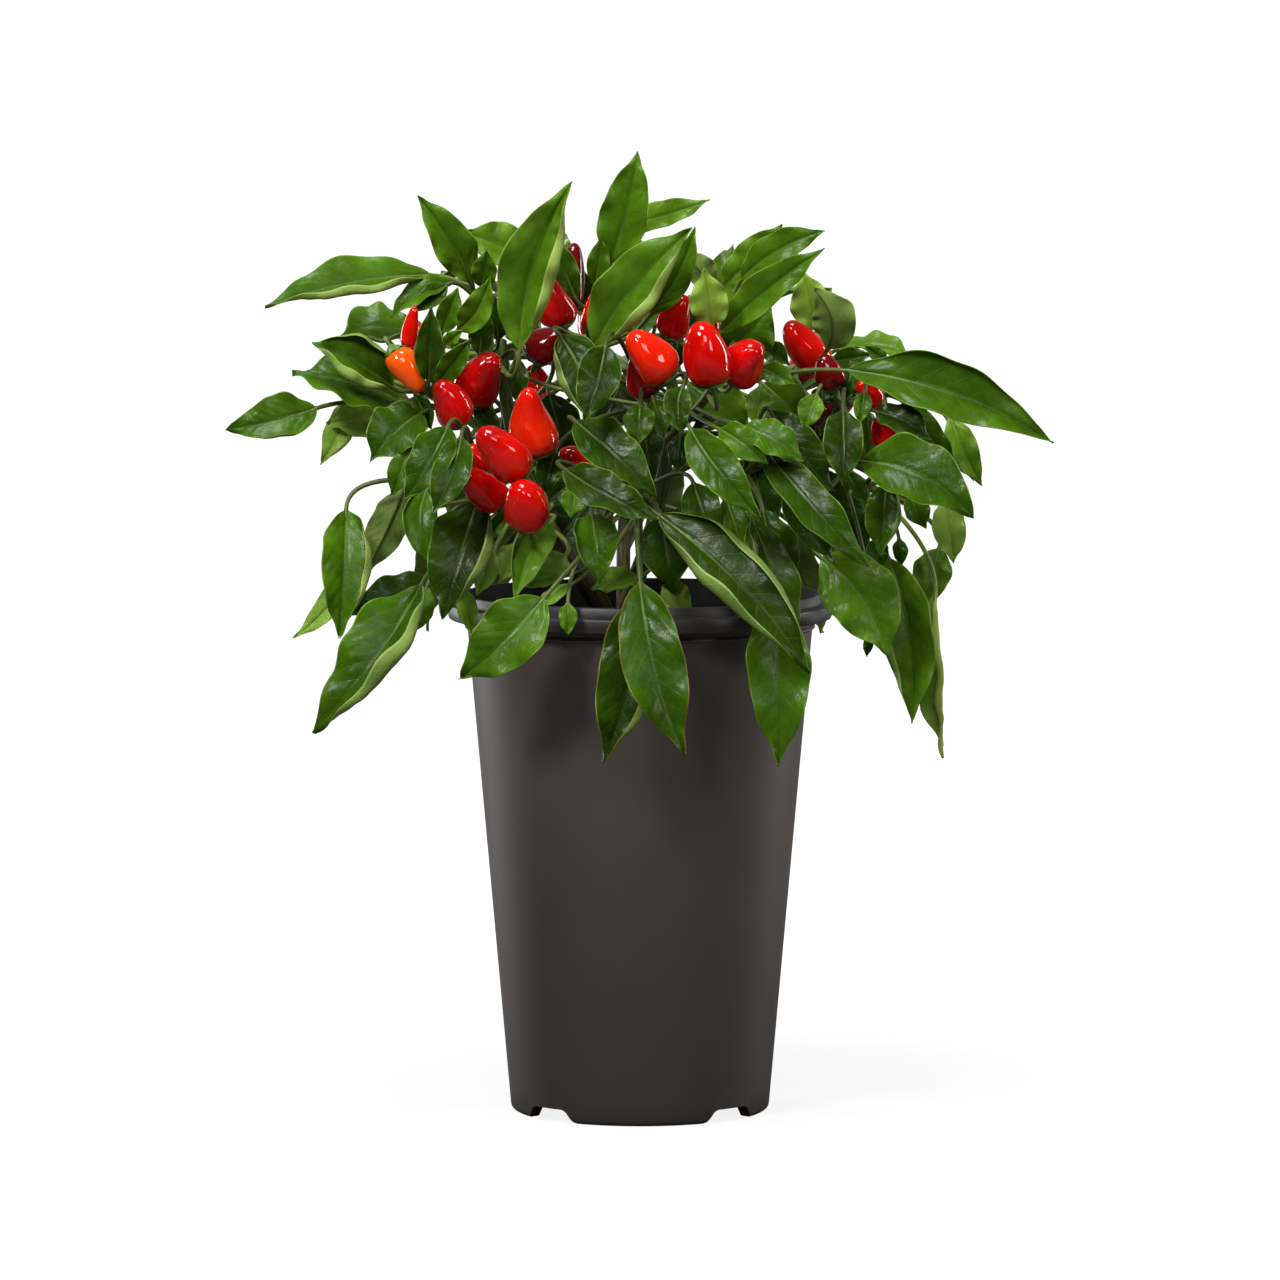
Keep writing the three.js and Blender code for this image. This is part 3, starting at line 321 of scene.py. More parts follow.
  [78, [49, -34, 262], [73, -44, 232], 18, FRONT, 4, 2, 14],
], []),
("front", [2.0, 1.7, 1.3], [[6, -3, 226], [-2, -28, 232], [-10, -46, 240]], [
  [56, [-24, -64, 258], [6, -80, 230], 20, [0, -3, 2], 4, 1, 18],
  [57, [-28, -80, 240], [7, -98, 221], 17, [0, -3, 2], 4, 3, 18],
  [58, [-18, -66, 223], [-15, -78, 198], 18, FRONT, 4, 0, 18],
  [61, [-36, -78, 192], [-67, -80, 162], 25, FRONT, 5, -2, 14],
  [62, [0, -80, 194], [-14, -94, 130], 25, FRONT, 3, -3],
  [63, [0, -98, 198], [17, -114, 133], 24, FRONT, 4, 3, 14],
  [64, [7, -74, 223], [64, -100, 164], 26, [0, -3, 2], 5, -2],
  [68, [20, -46, 235], [27, -54, 210], 15, FRONT, 3],
  [100, [8, -24, 222], [12, -34, 194], 20, FRONT, 3],
  [59, [-24, -58, 233], [-26, -62, 222], 10],
  [211, [-1, -22, 200], [-18, -28, 195], 12, [0, -2, 2], 1, 0, 14],
  [212, [10, -30, 199], [18, -36, 183], 11, FRONT, 1, 0, 14],
  [213, [-27, -71, 190], [-27, -73, 178], 7, FRONT, 1, 0, 12],
  [214, [-26, -44, 197], [-40, -50, 187], 6, [0, -3, 2], 1, 0, 12],
  [215, [-30, -34, 200], [-46, -38, 196], 7, [0, -3, 2], 1, 0, 12],
], [
  [5, [-38, -52, 247], [-42, -62, 270.5], 18.5],
  [10, [-15, -28, 237], [-30, -32, 247], 14],
]),
]

# The far side: side stems whose leaves stand in rows round a dome. After its path a stem has the two
# bearings between which it takes leaves, in degrees with 0 right, 90 back and 180 left, and its first and
# last row.
FAR_STEMS = [
("back_right", [2.1, 1.8, 1.5, 1.2], [[-4, 28, 232], [22, 44, 244], [46, 52, 260], [52, 54, 278]],
 (0, 68), (0, 4), [
  [28, [60, 72, 272], [64, 79, 289], 15],
  [29, [23, 62, 289], [26, 68, 307], 16],
  [30, [72, 42, 262], [78, 46, 278], 14],
]),
("back", [2.0, 1.7, 1.4, 1.1], [[0, 38, 267], [0, 47, 279], [0, 51, 292], [-2, 51, 305]],
 (68, 112), (0, 2), [
  [31, [6, 68, 296], [9, 77, 315], 16],
  [32, [-14, 72, 288], [-20, 84, 304], 15],
]),
("back_low", [2.0, 1.7, 1.4], [[-6, 22, 210], [0, 42, 222], [4, 58, 234]],
 (68, 112), (3, 4), []),
("back_left", [2.1, 1.8, 1.5, 1.2], [[-5, 24, 224], [-32, 40, 240], [-54, 50, 258], [-58, 52, 276]],
 (112, 180), (0, 4), [
  [33, [-45, 52, 290], [-47, 60, 309], 16],
  [34, [-38, 64, 262], [-40, 73, 279], 14],
  [35, [-76, 36, 278], [-86, 38, 296], 14],
]),
]

# Rows of the far side, top to bottom: how many leaves, their first and last bearing,
# the radius and height of base and tip, the width
FAR_ROWS = [
    (3, 44, 136, (22, 296), (46, 326), 19),
    (5, 28, 152, (40, 290), (80, 313), 21),
    (7, 20, 164, (64, 272), (118, 274), 22),
    (7, 24, 152, (70, 243), (116, 220), 24),
    (6, 32, 148, (74, 222), (102, 178), 22),
]
FIRST_FAR_LEAF = 101

# Seed, factor and modulus of the draw that shifts the leaves of the far side
FAR_SEED = 20
SHARE_FACTOR = 16807
SHARE_MODULUS = 2147483647

# How bright a leaf is, from dark green (0) to yellow-green (1): partly the leaf's own colour and partly
# painted light and shade, set so that each leaf looks as brightly lit as it should
LEAF_TONES_AND_PAINTED_LIGHT = {
    1: 0.45, 2: 0.5, 3: 0.56, 4: 0.58, 5: 0.45, 6: 0.6, 7: 0.36, 8: 0.4, 9: 0.34, 10: 1, 11: 1, 12: 0.2,
    13: 0.15, 14: 0.28, 16: 0.6, 17: 0.18, 20: 0.5, 21: 0.58, 23: 0.54, 24: 0.42, 26: 0.6, 27: 0.42,
    28: 0.44, 29: 0.9, 30: 0.52, 32: 0.9, 34: 0.6, 35: 0.36, 37: 0.28, 38: 0.35, 39: 0.68, 40: 0, 41: 0,
    44: 0.35, 45: 1, 46: 0.6, 49: 0.5, 50: 1, 51: 0.52, 52: 0.1, 53: 0, 54: 0.3, 56: 0.1, 57: 0.02,
    58: 0.42, 60: 0.68, 61: 0.42, 62: 0.02, 63: 0.22, 64: 0.1, 65: 0.42, 66: 0.22, 69: 0.26, 70: 0.4,
    71: 0.4, 72: 0.1, 73: 0.04, 74: 0.1, 77: 0.55, 78: 0, 80: 0.18, 81: 0.12, 82: 0.35, 83: 0.4, 84: 0.1,
    85: 0.75, 86: 0.85, 87: 1, 88: 0.42, 90: 1, 91: 0.3, 93: 0.14, 94: 0.15, 95: 0, 96: 0.25, 97: 0.8,
    98: 0.75, 99: 0.15, 100: 0.25, 201: 0.22, 202: 0.5, 203: 0.02, 204: 0, 207: 1, 210: 0.12, 211: 0.8,
    212: 1, 213: 0.6, 214: 0.75, 215: 0.7, 216: 0.1, 217: 0.12, 218: 0.25, 219: 1, 220: 0.15, 221: 0.12,
    223: 0.15, 225: 0.12, 226: 0.12, 227: 0.95, 228: 0.15, 229: 0.15, 230: 0.15, 231: 0.12, 232: 0.12,
    233: 0.2, 234: 0.12, 237: 0.15, 240: 0.2,
}

# How far the left and the right edge of a leaf roll over, in degrees
LEAF_CURLS = {
    1: (110, 0), 3: (0, 110), 6: (60, 0), 7: (125, 90), 9: (60, 0), 11: (100, 0), 20: (0, 50), 23: (0, 120),
    35: (60, 0), 37: (0, 40), 44: (100, 0), 49: (0, 130), 50: (110, 0), 58: (0, 60), 60: (0, 70),
    62: (140, 0), 64: (105, 105), 66: (0, 60), 74: (0, 110), 83: (0, 60), 84: (110, 0), 88: (110, 0),
    91: (110, 0),
}

# How brown the tip and edge of a leaf are
LEAF_DRYNESS = {61: 0.2, 62: 0.8, 63: 0.9, 65: 0.7}

# How ripe a fruit is, with painted shade at the low end: 0 maroon, painted shade for a fruit deep in the
# plant, 0.5 red, 1 orange
FRUIT_RIPENESS_AND_PAINTED_SHADE = {
    1: 0.95, 5: 0.68, 15: 0.68, 11: 0.34, 4: 0.42, 3: 0.5, 12: 0.15, 14: 0.2, 16: 0.2, 21: 0.2, 25: 0.1,
    27: 0.15,
}

# Outline of a fruit from stem end to tip: place along it, radius of an egg, radius of a slim cone
FRUIT_PROFILE = [
    (0.0, 0.3, 0.3), (0.01, 0.52, 0.55), (0.04, 0.72, 0.78), (0.1, 0.88, 0.93), (0.2, 0.975, 1.0),
    (0.33, 1.0, 0.97), (0.46, 0.97, 0.87), (0.58, 0.9, 0.74), (0.7, 0.8, 0.61), (0.8, 0.69, 0.5),
    (0.88, 0.565, 0.4), (0.94, 0.42, 0.3), (0.98, 0.25, 0.18), (1.0, 0.06, 0.05),
]

# How much of a cone a fruit is, from an egg (0) to a slim cone (1)
FRUIT_CONES = {
    5: 0.95, 1: 0.5, 4: 0.5, 3: 0.35, 6: 0.2, 8: 0.3, 9: 0.0, 11: 0.6, 15: 0.35, 18: 0.05, 19: 0.3, 20: 0.3,
}


# Curves and rings

def unit(vectors):
    vectors = np.asarray(vectors, float)
    return vectors / np.linalg.norm(vectors, axis=-1, keepdims=True)


def smooth(x):
    x = np.clip(x, 0.0, 1.0)
    return x * x * (3 - 2 * x)


# A direction square to the axis
def square_to(axis):
    return unit(np.cross([0, 0, 1.0] if abs(axis[2]) < 0.9 else [1.0, 0, 0], axis))


def lengths_along(points):
    return np.concatenate([[0], np.cumsum(np.linalg.norm(np.diff(points, axis=0), axis=1))])


# A centripetal Catmull-Rom curve through points of the layout, at even steps along its length
def even_curve(layout, steps):
    points = [placed(point) for point in layout]
    points = [2 * points[0] - points[1], *points, 2 * points[-1] - points[-2]]
    dense = []
    for a, b, c, d in zip(points, points[1:], points[2:], points[3:]):
        gap_ab, gap_bc, gap_cd = (math.sqrt(np.linalg.norm(q - p)) for p, q in ((a, b), (b, c), (c, d)))
        leave = ((b - a) / gap_ab - (c - a) / (gap_ab + gap_bc) + (c - b) / gap_bc) * gap_bc
        arrive = ((c - b) / gap_bc - (d - b) / (gap_bc + gap_cd) + (d - c) / gap_cd) * gap_bc
        for share in np.arange(0, 1, 1 / CURVE_STEPS):
            square, cube = share * share, share ** 3
            dense.append((2 * cube - 3 * square + 1) * b + (cube - 2 * square + share) * leave
                         + (3 * square - 2 * cube) * c + (cube - square) * arrive)
    dense = np.array(dense + [points[-2]])
    lengths = lengths_along(dense)
    wanted = np.linspace(0, lengths[-1], steps + 1)
    return np.stack([np.interp(wanted, lengths, dense[:, axis]) for axis in range(3)], axis=1)


# A stalk leaves its side stem a little before the nearest point and bends into its leaf or fruit
def stalk_points(stem, target, arrival, steps):
    distances = np.linalg.norm(stem - target, axis=1)
    before = int(distances.argmin()) / STEM_STEPS - 0.45 * distances.min() / lengths_along(stem)[-1]
    place = np.clip(before, 0.12, 0.97) * STEM_STEPS
    low = int(place)
    root = stem[low] * (1 - place % 1) + stem[min(low + 1, STEM_STEPS)] * (place % 1)
    bend = target - arrival * 0.4 * np.linalg.norm(root - target)
    t = np.linspace(0, 1, steps + 1)[:, None]
    return (1 - t) ** 2 * root + 2 * t * (1 - t) * bend + t * t * target


def round_angles(sides):
    return np.arange(sides) * 2 * math.pi / sides


# Directions round an axis, from the direction across it to the one up from it
def round_axis(angles, across, up):
    return np.cos(angles)[:, None] * across + np.sin(angles)[:, None] * up


# Rings round the upright axis from an outline of (radius, height)
def upright_rings(outline, sides):
    return [(radius * math.cos(a), radius * math.sin(a), height)
            for radius, height in outline for a in round_angles(sides)]


# Quads between two rings of points, given by their first points
def band_faces(first, second, sides):
    pairs = [(side, (side + 1) % sides) for side in range(sides)]
    return [[first + side, first + after, second + after, second + side] for side, after in pairs]


# Quads between rings of points that follow one another
def ring_faces(rings, sides):
    return [quad for ring in range(rings - 1) for quad in band_faces(ring * sides, (ring + 1) * sides, sides)]


# Quads that close a ring of points, turned over if the order is -1
def cap_faces(start, sides, order=1):
    return [[start, start + side, start + side + 1, start + side + 2][::order]
            for side in range(1, sides - 2, 2)]


# A solid of rings round the upright axis, closed by a fan round a centre at each end
def closed_rings(rings, sides, foot, top):
    count = len(rings)
    last = count - sides
    faces = ring_faces(count // sides, sides)
    for side in range(sides):
        after = (side + 1) % sides
        faces += [[count, after, side], [count + 1, last + side, last + after]]
    return [*rings, (0, 0, foot), (0, 0, top)], faces


# A closed tube with rounded ends along the points
def tube(points, radii, sides, lobes=0.0):
    points = np.asarray(points, float)
    rows = len(points)
    radii = np.interp(np.linspace(0, 1, rows), np.linspace(0, 1, len(radii)), radii)
    tangents = unit(np.gradient(points, axis=0))
    across = square_to(tangents[0])
    angles = round_angles(sides)
    rings, ring_maps = [], []
    for point, tangent, radius, length in zip(points, tangents, radii, lengths_along(points)):
        across = unit(across - tangent * across.dot(tangent))
        lobed = radius * (1 + lobes * np.cos(3 * angles + 0.02 * length))
        rings.append(point + lobed[:, None] * round_axis(angles, across, np.cross(tangent, across)))
        ring_maps.append(np.stack([angles / (2 * math.pi), np.full(sides, length / 10)], axis=1))
    faces = ring_faces(rows, sides)
    for end, tangent, order in ((0, -tangents[0], -1), (rows - 1, tangents[-1], 1)):
        start = len(rings) * sides
        rings.append(points[end] + tangent * radii[end] * 0.35 + (rings[end] - points[end]) * 0.55)
        ring_maps.append(ring_maps[end])
        faces += [quad[::order] for quad in band_faces(end * sides, start, sides)]
        faces += cap_faces(start, sides, order)
    return np.concatenate(rings), np.array(faces), np.concatenate(ring_maps)


# Pieces

def object_of(name, points, faces):
    mesh = bpy.data.meshes.new(name)
    mesh.from_pydata((np.asarray(points, float) * MM).tolist(), [], faces)
    mesh.update()
    made = bpy.data.objects.new(name, mesh)
    bpy.context.scene.collection.objects.link(made)
    return made


def finish_piece(piece, materials, node):
    for material in materials:
        piece.data.materials.append(material)
    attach(piece, "root")
    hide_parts(node)


# A mesh gathered from many parts. Corner maps: "blade" runs over the surface, and "veins" holds how far
# a corner is along the vein pattern and how far from the midrib, in centimetres. Point values: "tone" is
# how bright or ripe the surface is, with painted light and shade in it for many leaves and for the darkest
# fruits, and "dry" how brown, or how far along a fruit it lies.
class Gathering:
    def __init__(self):
        self.points, self.tones, self.dry = [], [], []
        self.faces, self.slots, self.blade, self.veins = [], [], [], []
        self.count = 0

    def add_faces(self, faces, start, slot, blade, veins):
        self.faces.append(faces + start)
        self.slots.append(np.full(len(faces), slot))
        self.blade.append(np.asarray(blade, float)[faces].reshape(-1, 2))
        self.veins.append(veins.reshape(-1, 2))

    def add(self, points, faces, slot, blade, tone, dry=0.0, veins=None):
        faces = np.asarray(faces, int)
        veins = np.zeros((*faces.shape, 2)) if veins is None else veins
        self.add_faces(faces, self.count, slot, blade, veins)
        self.points.append(points)
        self.tones.append(np.broadcast_to(tone, len(points)).astype(float))
        self.dry.append(np.broadcast_to(dry, len(points)).astype(float))
        self.count += len(points)

    def piece(self, name, materials, slot, node):
        piece = object_of(name, np.concatenate(self.points), np.concatenate(self.faces).tolist())
        mesh = piece.data
        mesh.polygons.foreach_set("material_index", np.concatenate(self.slots).astype(np.int32))
        mesh.polygons.foreach_set("use_smooth", np.ones(len(mesh.polygons), bool))
        for title, values in (("blade", self.blade), ("veins", self.veins)):
            mesh.uv_layers.new(name=title).data.foreach_set("uv", np.concatenate(values).ravel())
        for title, values in (("tone", self.tones), ("dry", self.dry)):
            mesh.attributes.new(title, "FLOAT", "POINT").data.foreach_set("value", np.concatenate(values))
        mesh.update()
        finish_piece(piece, materials, node)


# Leaves

def blade_half_width(t):
    return 3.545 * t ** 0.8 * (1 - t) ** 1.05


class Blade:
    def __init__(self, leaf):
        self.number, base, tip, self.width, faces, self.arch, self.sway, fold = leaf
        self.start = placed(base)
        reach = placed(tip) - self.start
        self.length = np.linalg.norm(reach)
        self.along = unit(reach)
        faces = np.array(faces, float)
        self.facing = unit(faces - self.along * faces.dot(self.along))
        self.right = np.cross(self.along, self.facing)
        self.fold = math.radians(fold)

    # Points of the midrib, and the directions up from the blade and to its right there
    def spine(self, t):
        lift = self.facing * self.arch + self.right * self.sway
        points = self.start + self.along * (self.length * t)[:, None] + lift * (4 * t * (1 - t))[:, None]
        tangent = unit(self.along * self.length + lift * (4 * (1 - 2 * t))[:, None])
        normal = unit(self.facing - tangent * (tangent @ self.facing)[:, None])
        return points, normal, np.cross(tangent, normal)


# How many rows of faces a blade has from base to tip, and how many columns each half has
def blade_size(length):
    if length > LARGE_LEAF:
        return 44, 11
    return (32, 9) if length > SMALL_LEAF else (20, 7)


# The surface of a blade: a folded and arched plate whose edges wave and roll, puckered between its side veins
def blade_surface(blade, rolls):
    rows, columns = blade_size(blade.length)
    even = np.linspace(0, 1, rows + 1)
    t = 0.45 * even + 0.55 * (0.5 - 0.5 * np.cos(math.pi * even))
    mid, normal, side = blade.spine(t)
    t = t[:, None]
    v = 1 - (1 - np.linspace(0, 1, columns + 1)) ** 1.25
    fine = np.linspace(0, 1, columns * 6 + 1)
    steps = np.diff(fine)
    outline = blade_half_width(t) * blade.width / 2 * (1 - TIP_NARROWING * np.exp(-((t - 0.9) / 0.075) ** 2))
    spacing = max(blade.length / SIDE_VEINS, LEAST_VEIN_SPACING)
    number = blade.number
    halves = []
    for sign, roll in zip((-1, 1), rolls):
        strength = math.radians(roll) * 1.35 * np.sin(math.pi * np.clip(t, 0.02, 0.98)) ** 0.5
        angle = blade.fold + strength * smooth((fine - 0.52) / 0.42)
        uneven = 0.035 * np.sin(13 * t + 1.7 * number * sign) + 0.012 * np.sin(31 * t + number + sign)
        half = np.maximum(outline * (1 + uneven), 0.9 * np.clip(1 - t * 12, 0, 1) + 0.16)
        width = half * (1 + 0.38 * roll / 110 * np.sin(math.pi * t))
        middle = (angle[:, 1:] + angle[:, :-1]) / 2
        out, rise = (width * np.stack([np.interp(v, fine, [0, *np.cumsum(row)]) for row in part * steps])
                     for part in (np.cos(middle), np.sin(middle)))
        from_midrib = v * half
        along_veins = t * blade.length - 0.95 * from_midrib - from_midrib ** 2 / blade.width
        phase = along_veins / spacing + (0.5 if sign < 0 else 0.0)
        inside = 4 * v * (1 - v) ** 0.8 * smooth(t * 8) * smooth((1 - t) * 5)
        wave = WAVE * np.sin(9 * t + number + (2 if sign > 0 else 0))
        wave = (wave + RIPPLE * np.sin(21 * t + 3 * number * sign)) * blade.width * v ** 2 * smooth(t * 6)
        patchy = (0.6 + 0.4 * np.sin(9 * t + 2.3 * number + sign)
                  + 0.35 * np.sin(23 * t + 11 * v + 4.1 * number * sign))
        pucker = PUCKER * blade.width * patchy * (0.2 - 0.5 * np.cos(2 * math.pi * phase)) * inside
        groove = GROOVE_DEPTH * np.exp(-(from_midrib / 0.55) ** 2) * smooth((1 - t) * 4)
        height = rise + wave + pucker - groove
        points = mid[:, None] + side[:, None] * (sign * out)[..., None] + normal[:, None] * height[..., None]
        halves.append((points, phase, from_midrib))
    return halves, t, np.concatenate([-v[:0:-1], v])


def add_leaf(gathering, stem, leaf, looks):
    blade = Blade(leaf)
    tone, *rolls, dry = looks
    halves, t, u = blade_surface(blade, rolls)
    (left, left_phase, left_far), (right, right_phase, right_far) = halves
    surface = np.concatenate([left[:, :0:-1], right], axis=1)
    rows, columns = len(t) - 1, len(u) - 1
    row, column = np.meshgrid(np.arange(rows), np.arange(columns), indexing="ij")
    first = (row * (columns + 1) + column).ravel()
    faces = np.stack([first, first + 1, first + columns + 2, first + columns + 1], axis=1)

    # The vein pattern of each half is kept on its own side of the midrib
    to_left = np.concatenate([left_phase[:, ::-1], right_phase[:, 1:]], axis=1).ravel()
    to_right = np.concatenate([left_phase[:, :0:-1], right_phase], axis=1).ravel()
    on_right = first % (columns + 1) >= columns // 2
    far = np.concatenate([left_far[:, :0:-1], right_far], axis=1).ravel() / 10
    veins = np.stack([np.where(on_right[:, None], to_right[faces], to_left[faces]), far[faces]], axis=-1)

    outward = unit(np.cross(np.gradient(surface, axis=1), np.gradient(surface, axis=0)))
    thick = BLADE_THICKNESS / 2 * (1 - 0.45 * u[:, None] ** 2)
    blade_map = np.stack(np.broadcast_arrays(u * 0.5 + 0.5, t), axis=-1).reshape(-1, 2)
    dryness = dry * (np.abs(u) ** 9 + 0.5 * smooth((t - 0.85) / 0.15)).ravel()
    start = gathering.count
    for slot, lift in ((0, 1), (1, -1)):
        points = (surface + outward * thick * lift).reshape(-1, 3)
        gathering.add(points, faces[:, ::lift], slot, blade_map, tone, dryness, veins[:, ::lift])
    rim = np.concatenate([
        np.arange(columns), columns + (columns + 1) * np.arange(rows),
        (rows + 1) * (columns + 1) - 1 - np.arange(columns),
        (columns + 1) * np.arange(rows, 0, -1)])
    after = np.roll(rim, -1)
    below = (rows + 1) * (columns + 1)
    rim_faces = np.stack([rim, rim + below, after + below, after], axis=1)
    rim_veins = np.full((len(rim), 4, 2), (0.5, 1.0))
    gathering.add_faces(rim_faces, start, 0, np.tile(blade_map, (2, 1)), rim_veins)

    # The stalk runs on under the blade as its midrib
    arrival = unit(blade.spine(np.array([0.02]))[0][0] - blade.start)
    stalk = stalk_points(stem, blade.start, arrival, STALK_STEPS)
    free = STALK_STEPS + 1
    along = np.linspace(0, 0.93, 18)[1:]
    mid, normal, _ = blade.spine(along)
    rib = mid - normal * (0.3 + 0.25 * smooth(along * 6))[:, None]
    points = np.concatenate([stalk - normal[0] * 0.25 * smooth(np.linspace(0, 1, free))[:, None], rib])
    scale = PETIOLE_RADIUS * (0.7 + 0.3 * min(1, blade.width / 20))
    radii = np.concatenate([np.linspace(1.2, 1.0, free), 0.62 * (1 - along) ** 0.7 + 0.14]) * scale
    points, faces, tube_map = tube(points, radii, STALK_SIDES)
    gathering.add(points, faces, 2, tube_map, tone)


# Fruits

def fruit_piece(row):
    number, stem_end, tip, width = row
    start = placed(stem_end)
    reach = placed(tip) - start
    axis = unit(reach)
    across = square_to(axis)
    up = np.cross(axis, across)
    shares = 0.5 - 0.5 * np.cos(math.pi * np.linspace(0, 1, FRUIT_ROWS + 1))
    profile = np.array(FRUIT_PROFILE)
    cone = FRUIT_CONES.get(number, 0.4)
    outline = profile[:, 1] * (1 - cone) + profile[:, 2] * cone
    radii = np.interp(shares, profile[:, 0], outline) * width / 2 * FRUIT_RADIUS_SHARE
    shares = shares[:, None]
    angles = round_angles(FRUIT_SIDES)
    lobed = (1 + 0.04 * np.sin(math.pi * shares) * np.cos(3 * angles + number)
             + 0.025 * np.cos(4 * angles + 2.3 * number) * np.cos(7 * shares + number))
    lean = number * 2.1
    leaning = across * math.cos(lean) + up * math.sin(lean)
    centres = start + reach * shares + leaning * 0.06 * width * np.sin(math.pi * shares)
    points = centres[:, None] + round_axis(angles, across, up) * (radii[:, None] * lobed)[..., None]
    faces = (ring_faces(FRUIT_ROWS + 1, FRUIT_SIDES) + cap_faces(0, FRUIT_SIDES, -1)
             + cap_faces(FRUIT_ROWS * FRUIT_SIDES, FRUIT_SIDES))
    fruit_map = np.stack(np.broadcast_arrays(angles / (2 * math.pi), shares), axis=-1).reshape(-1, 2)
    gathering = Gathering()
    gathering.add(points.reshape(-1, 3), faces, 0, fruit_map, FRUIT_RIPENESS_AND_PAINTED_SHADE.get(number, 0.5),
                  np.repeat(shares, FRUIT_SIDES))
    gathering.piece(f"fruit_{number:02d}_skin", [fruit_skin], "fruit", f"fruit_{number:02d}")


# The stalk of a fruit widens into a cup with five blunt teeth under the fruit
def add_calyx(gathering, stem, row):
    number, stem_end, tip, width = row
    start = placed(stem_end)
    axis = unit(placed(tip) - start)
    seat = start - axis * CALYX_SINK
    stalk = stalk_points(stem, seat - axis * CALYX_HEIGHT, axis, PEDICEL_STEPS)
    radii = np.linspace(1.15, 1.0, PEDICEL_STEPS + 1) * PEDICEL_RADIUS
    points, faces, tube_map = tube(stalk, radii, STALK_SIDES)
    gathering.add(points, faces, 2, tube_map, CALYX_TONE)
    across = square_to(axis)
    angles = round_angles(CALYX_SIDES)
    spokes = round_axis(angles, across, np.cross(axis, across))
    wobble = np.cos(5 * angles + number)[:, None]
    reach = 0.31 * width
    profile = [(-2.9, 0.8 * PEDICEL_RADIUS, 0), (-2.5, 1.1 * PEDICEL_RADIUS, 0), (-1.7, 0.45 * reach, 0),
               (-0.9, 0.8 * reach, 0.02), (-0.2, 0.98 * reach, 0.07), (0.45, 1.06 * reach, 0.13),
               (0.6, 1.0 * reach, 0.12), (0.1, 0.8 * reach, 0.02), (0.0, 0.3 * reach, 0)]
    rings = len(profile)
    points = np.concatenate([
        seat + axis * (height + 3.5 * teeth * wobble) + radius * (1 + teeth * wobble) * spokes
        for height, radius, teeth in profile])
    faces = (ring_faces(rings, CALYX_SIDES) + cap_faces(0, CALYX_SIDES, -1)
             + cap_faces((rings - 1) * CALYX_SIDES, CALYX_SIDES))
    cup_map = np.stack([np.tile(angles / (2 * math.pi), rings),
                        np.repeat(np.linspace(0, 0.5, rings), CALYX_SIDES)], axis=1)
    gathering.add(points, faces, 3, cup_map, CALYX_TONE)


# Materials

# The shading nodes of one tree. A value is a number, a colour or the output of another node.
class Nodes:
    def __init__(self, tree):
        self.tree = tree

    def put(self, socket, value):
        if isinstance(value, bpy.types.NodeSocket):
            self.tree.links.new(value, socket)
        else:
            socket.default_value = value

    def node(self, kind, inputs=None, **settings):
        made = self.tree.nodes.new("ShaderNode" + kind)
        for key, value in settings.items():
            setattr(made, key, value)
        for key, value in (inputs or {}).items():
            self.put(made.inputs[key], value)
        return made

    def maths(self, operation, *values, clamp=False):
        return self.node("Math", dict(enumerate(values)), operation=operation, use_clamp=clamp).outputs[0]

    def times(self, value, factor):
        return self.maths("MULTIPLY", value, factor)

    def less(self, value, part):
        return self.maths("SUBTRACT", value, part)

    # value * factor + rest
    def scaled(self, value, factor, rest, clamp=False):
        return self.maths("MULTIPLY_ADD", value, factor, rest, clamp=clamp)

    def length(self, vector):
        return self.node("VectorMath", {0: vector}, operation="LENGTH").outputs["Value"]

    def parts(self, vector):
        return self.node("SeparateXYZ", {0: vector}).outputs

    def position(self, kind="Object"):
        return self.node("TexCoord").outputs[kind]

    def over(self, title):
        return self.node("UVMap", uv_map=title).outputs[0]

    def attribute(self, title):
        return self.node("Attribute", attribute_name=title).outputs["Fac"]

    def between(self, value, low, high, from_value=0.0, to_value=1.0):
        return self.node("MapRange", {"Value": value, "From Min": low, "From Max": high,
                                      "To Min": from_value, "To Max": to_value},
                         interpolation_type="SMOOTHSTEP").outputs[0]

    def blended(self, share, first, second):
        made = self.node("Mix", data_type="RGBA", clamp_factor=True)
        for index, value in ((0, share), (6, first), (7, second)):
            self.put(made.inputs[index], (*value, 1) if isinstance(value, tuple) else value)
        return made.outputs[2]

    def ramp(self, value, stops):
        made = self.node("ValToRGB", {"Fac": value})
        marks = made.color_ramp.elements
        while len(marks) < len(stops):
            marks.new(0.5)
        for mark, (place, colour) in zip(marks, stops):
            mark.position = place
            mark.color = (*colour, 1)
        return made.outputs[0]

    def noise(self, where, scale, detail=4.0, roughness=0.55, stretch=None):
        if stretch:
            where = self.node("Mapping", {"Vector": where, "Scale": stretch}).outputs[0]
        return self.node("TexNoise", {"Vector": where, "Scale": scale, "Detail": detail,
                                      "Roughness": roughness}).outputs[0]


class Paint(Nodes):
    def __init__(self, name, viewport, **fixed):
        self.material = bpy.data.materials.new(name)
        self.material.use_nodes = True
        self.material.diffuse_color = (*viewport, 1)
        super().__init__(self.material.node_tree)
        self.shader = self.tree.nodes["Principled BSDF"].inputs
        for key, value in fixed.items():
            self.put(self.shader[key.replace("_", " ")], value)

    def finish(self, colour, height, strength, distance, rough=None):
        self.put(self.shader["Base Color"], colour)
        if rough is not None:
            self.put(self.shader["Roughness"], rough)
        bump = self.node("Bump", {"Height": height, "Strength": strength, "Distance": distance})
        self.put(self.shader["Normal"], bump.outputs[0])
        return self.material


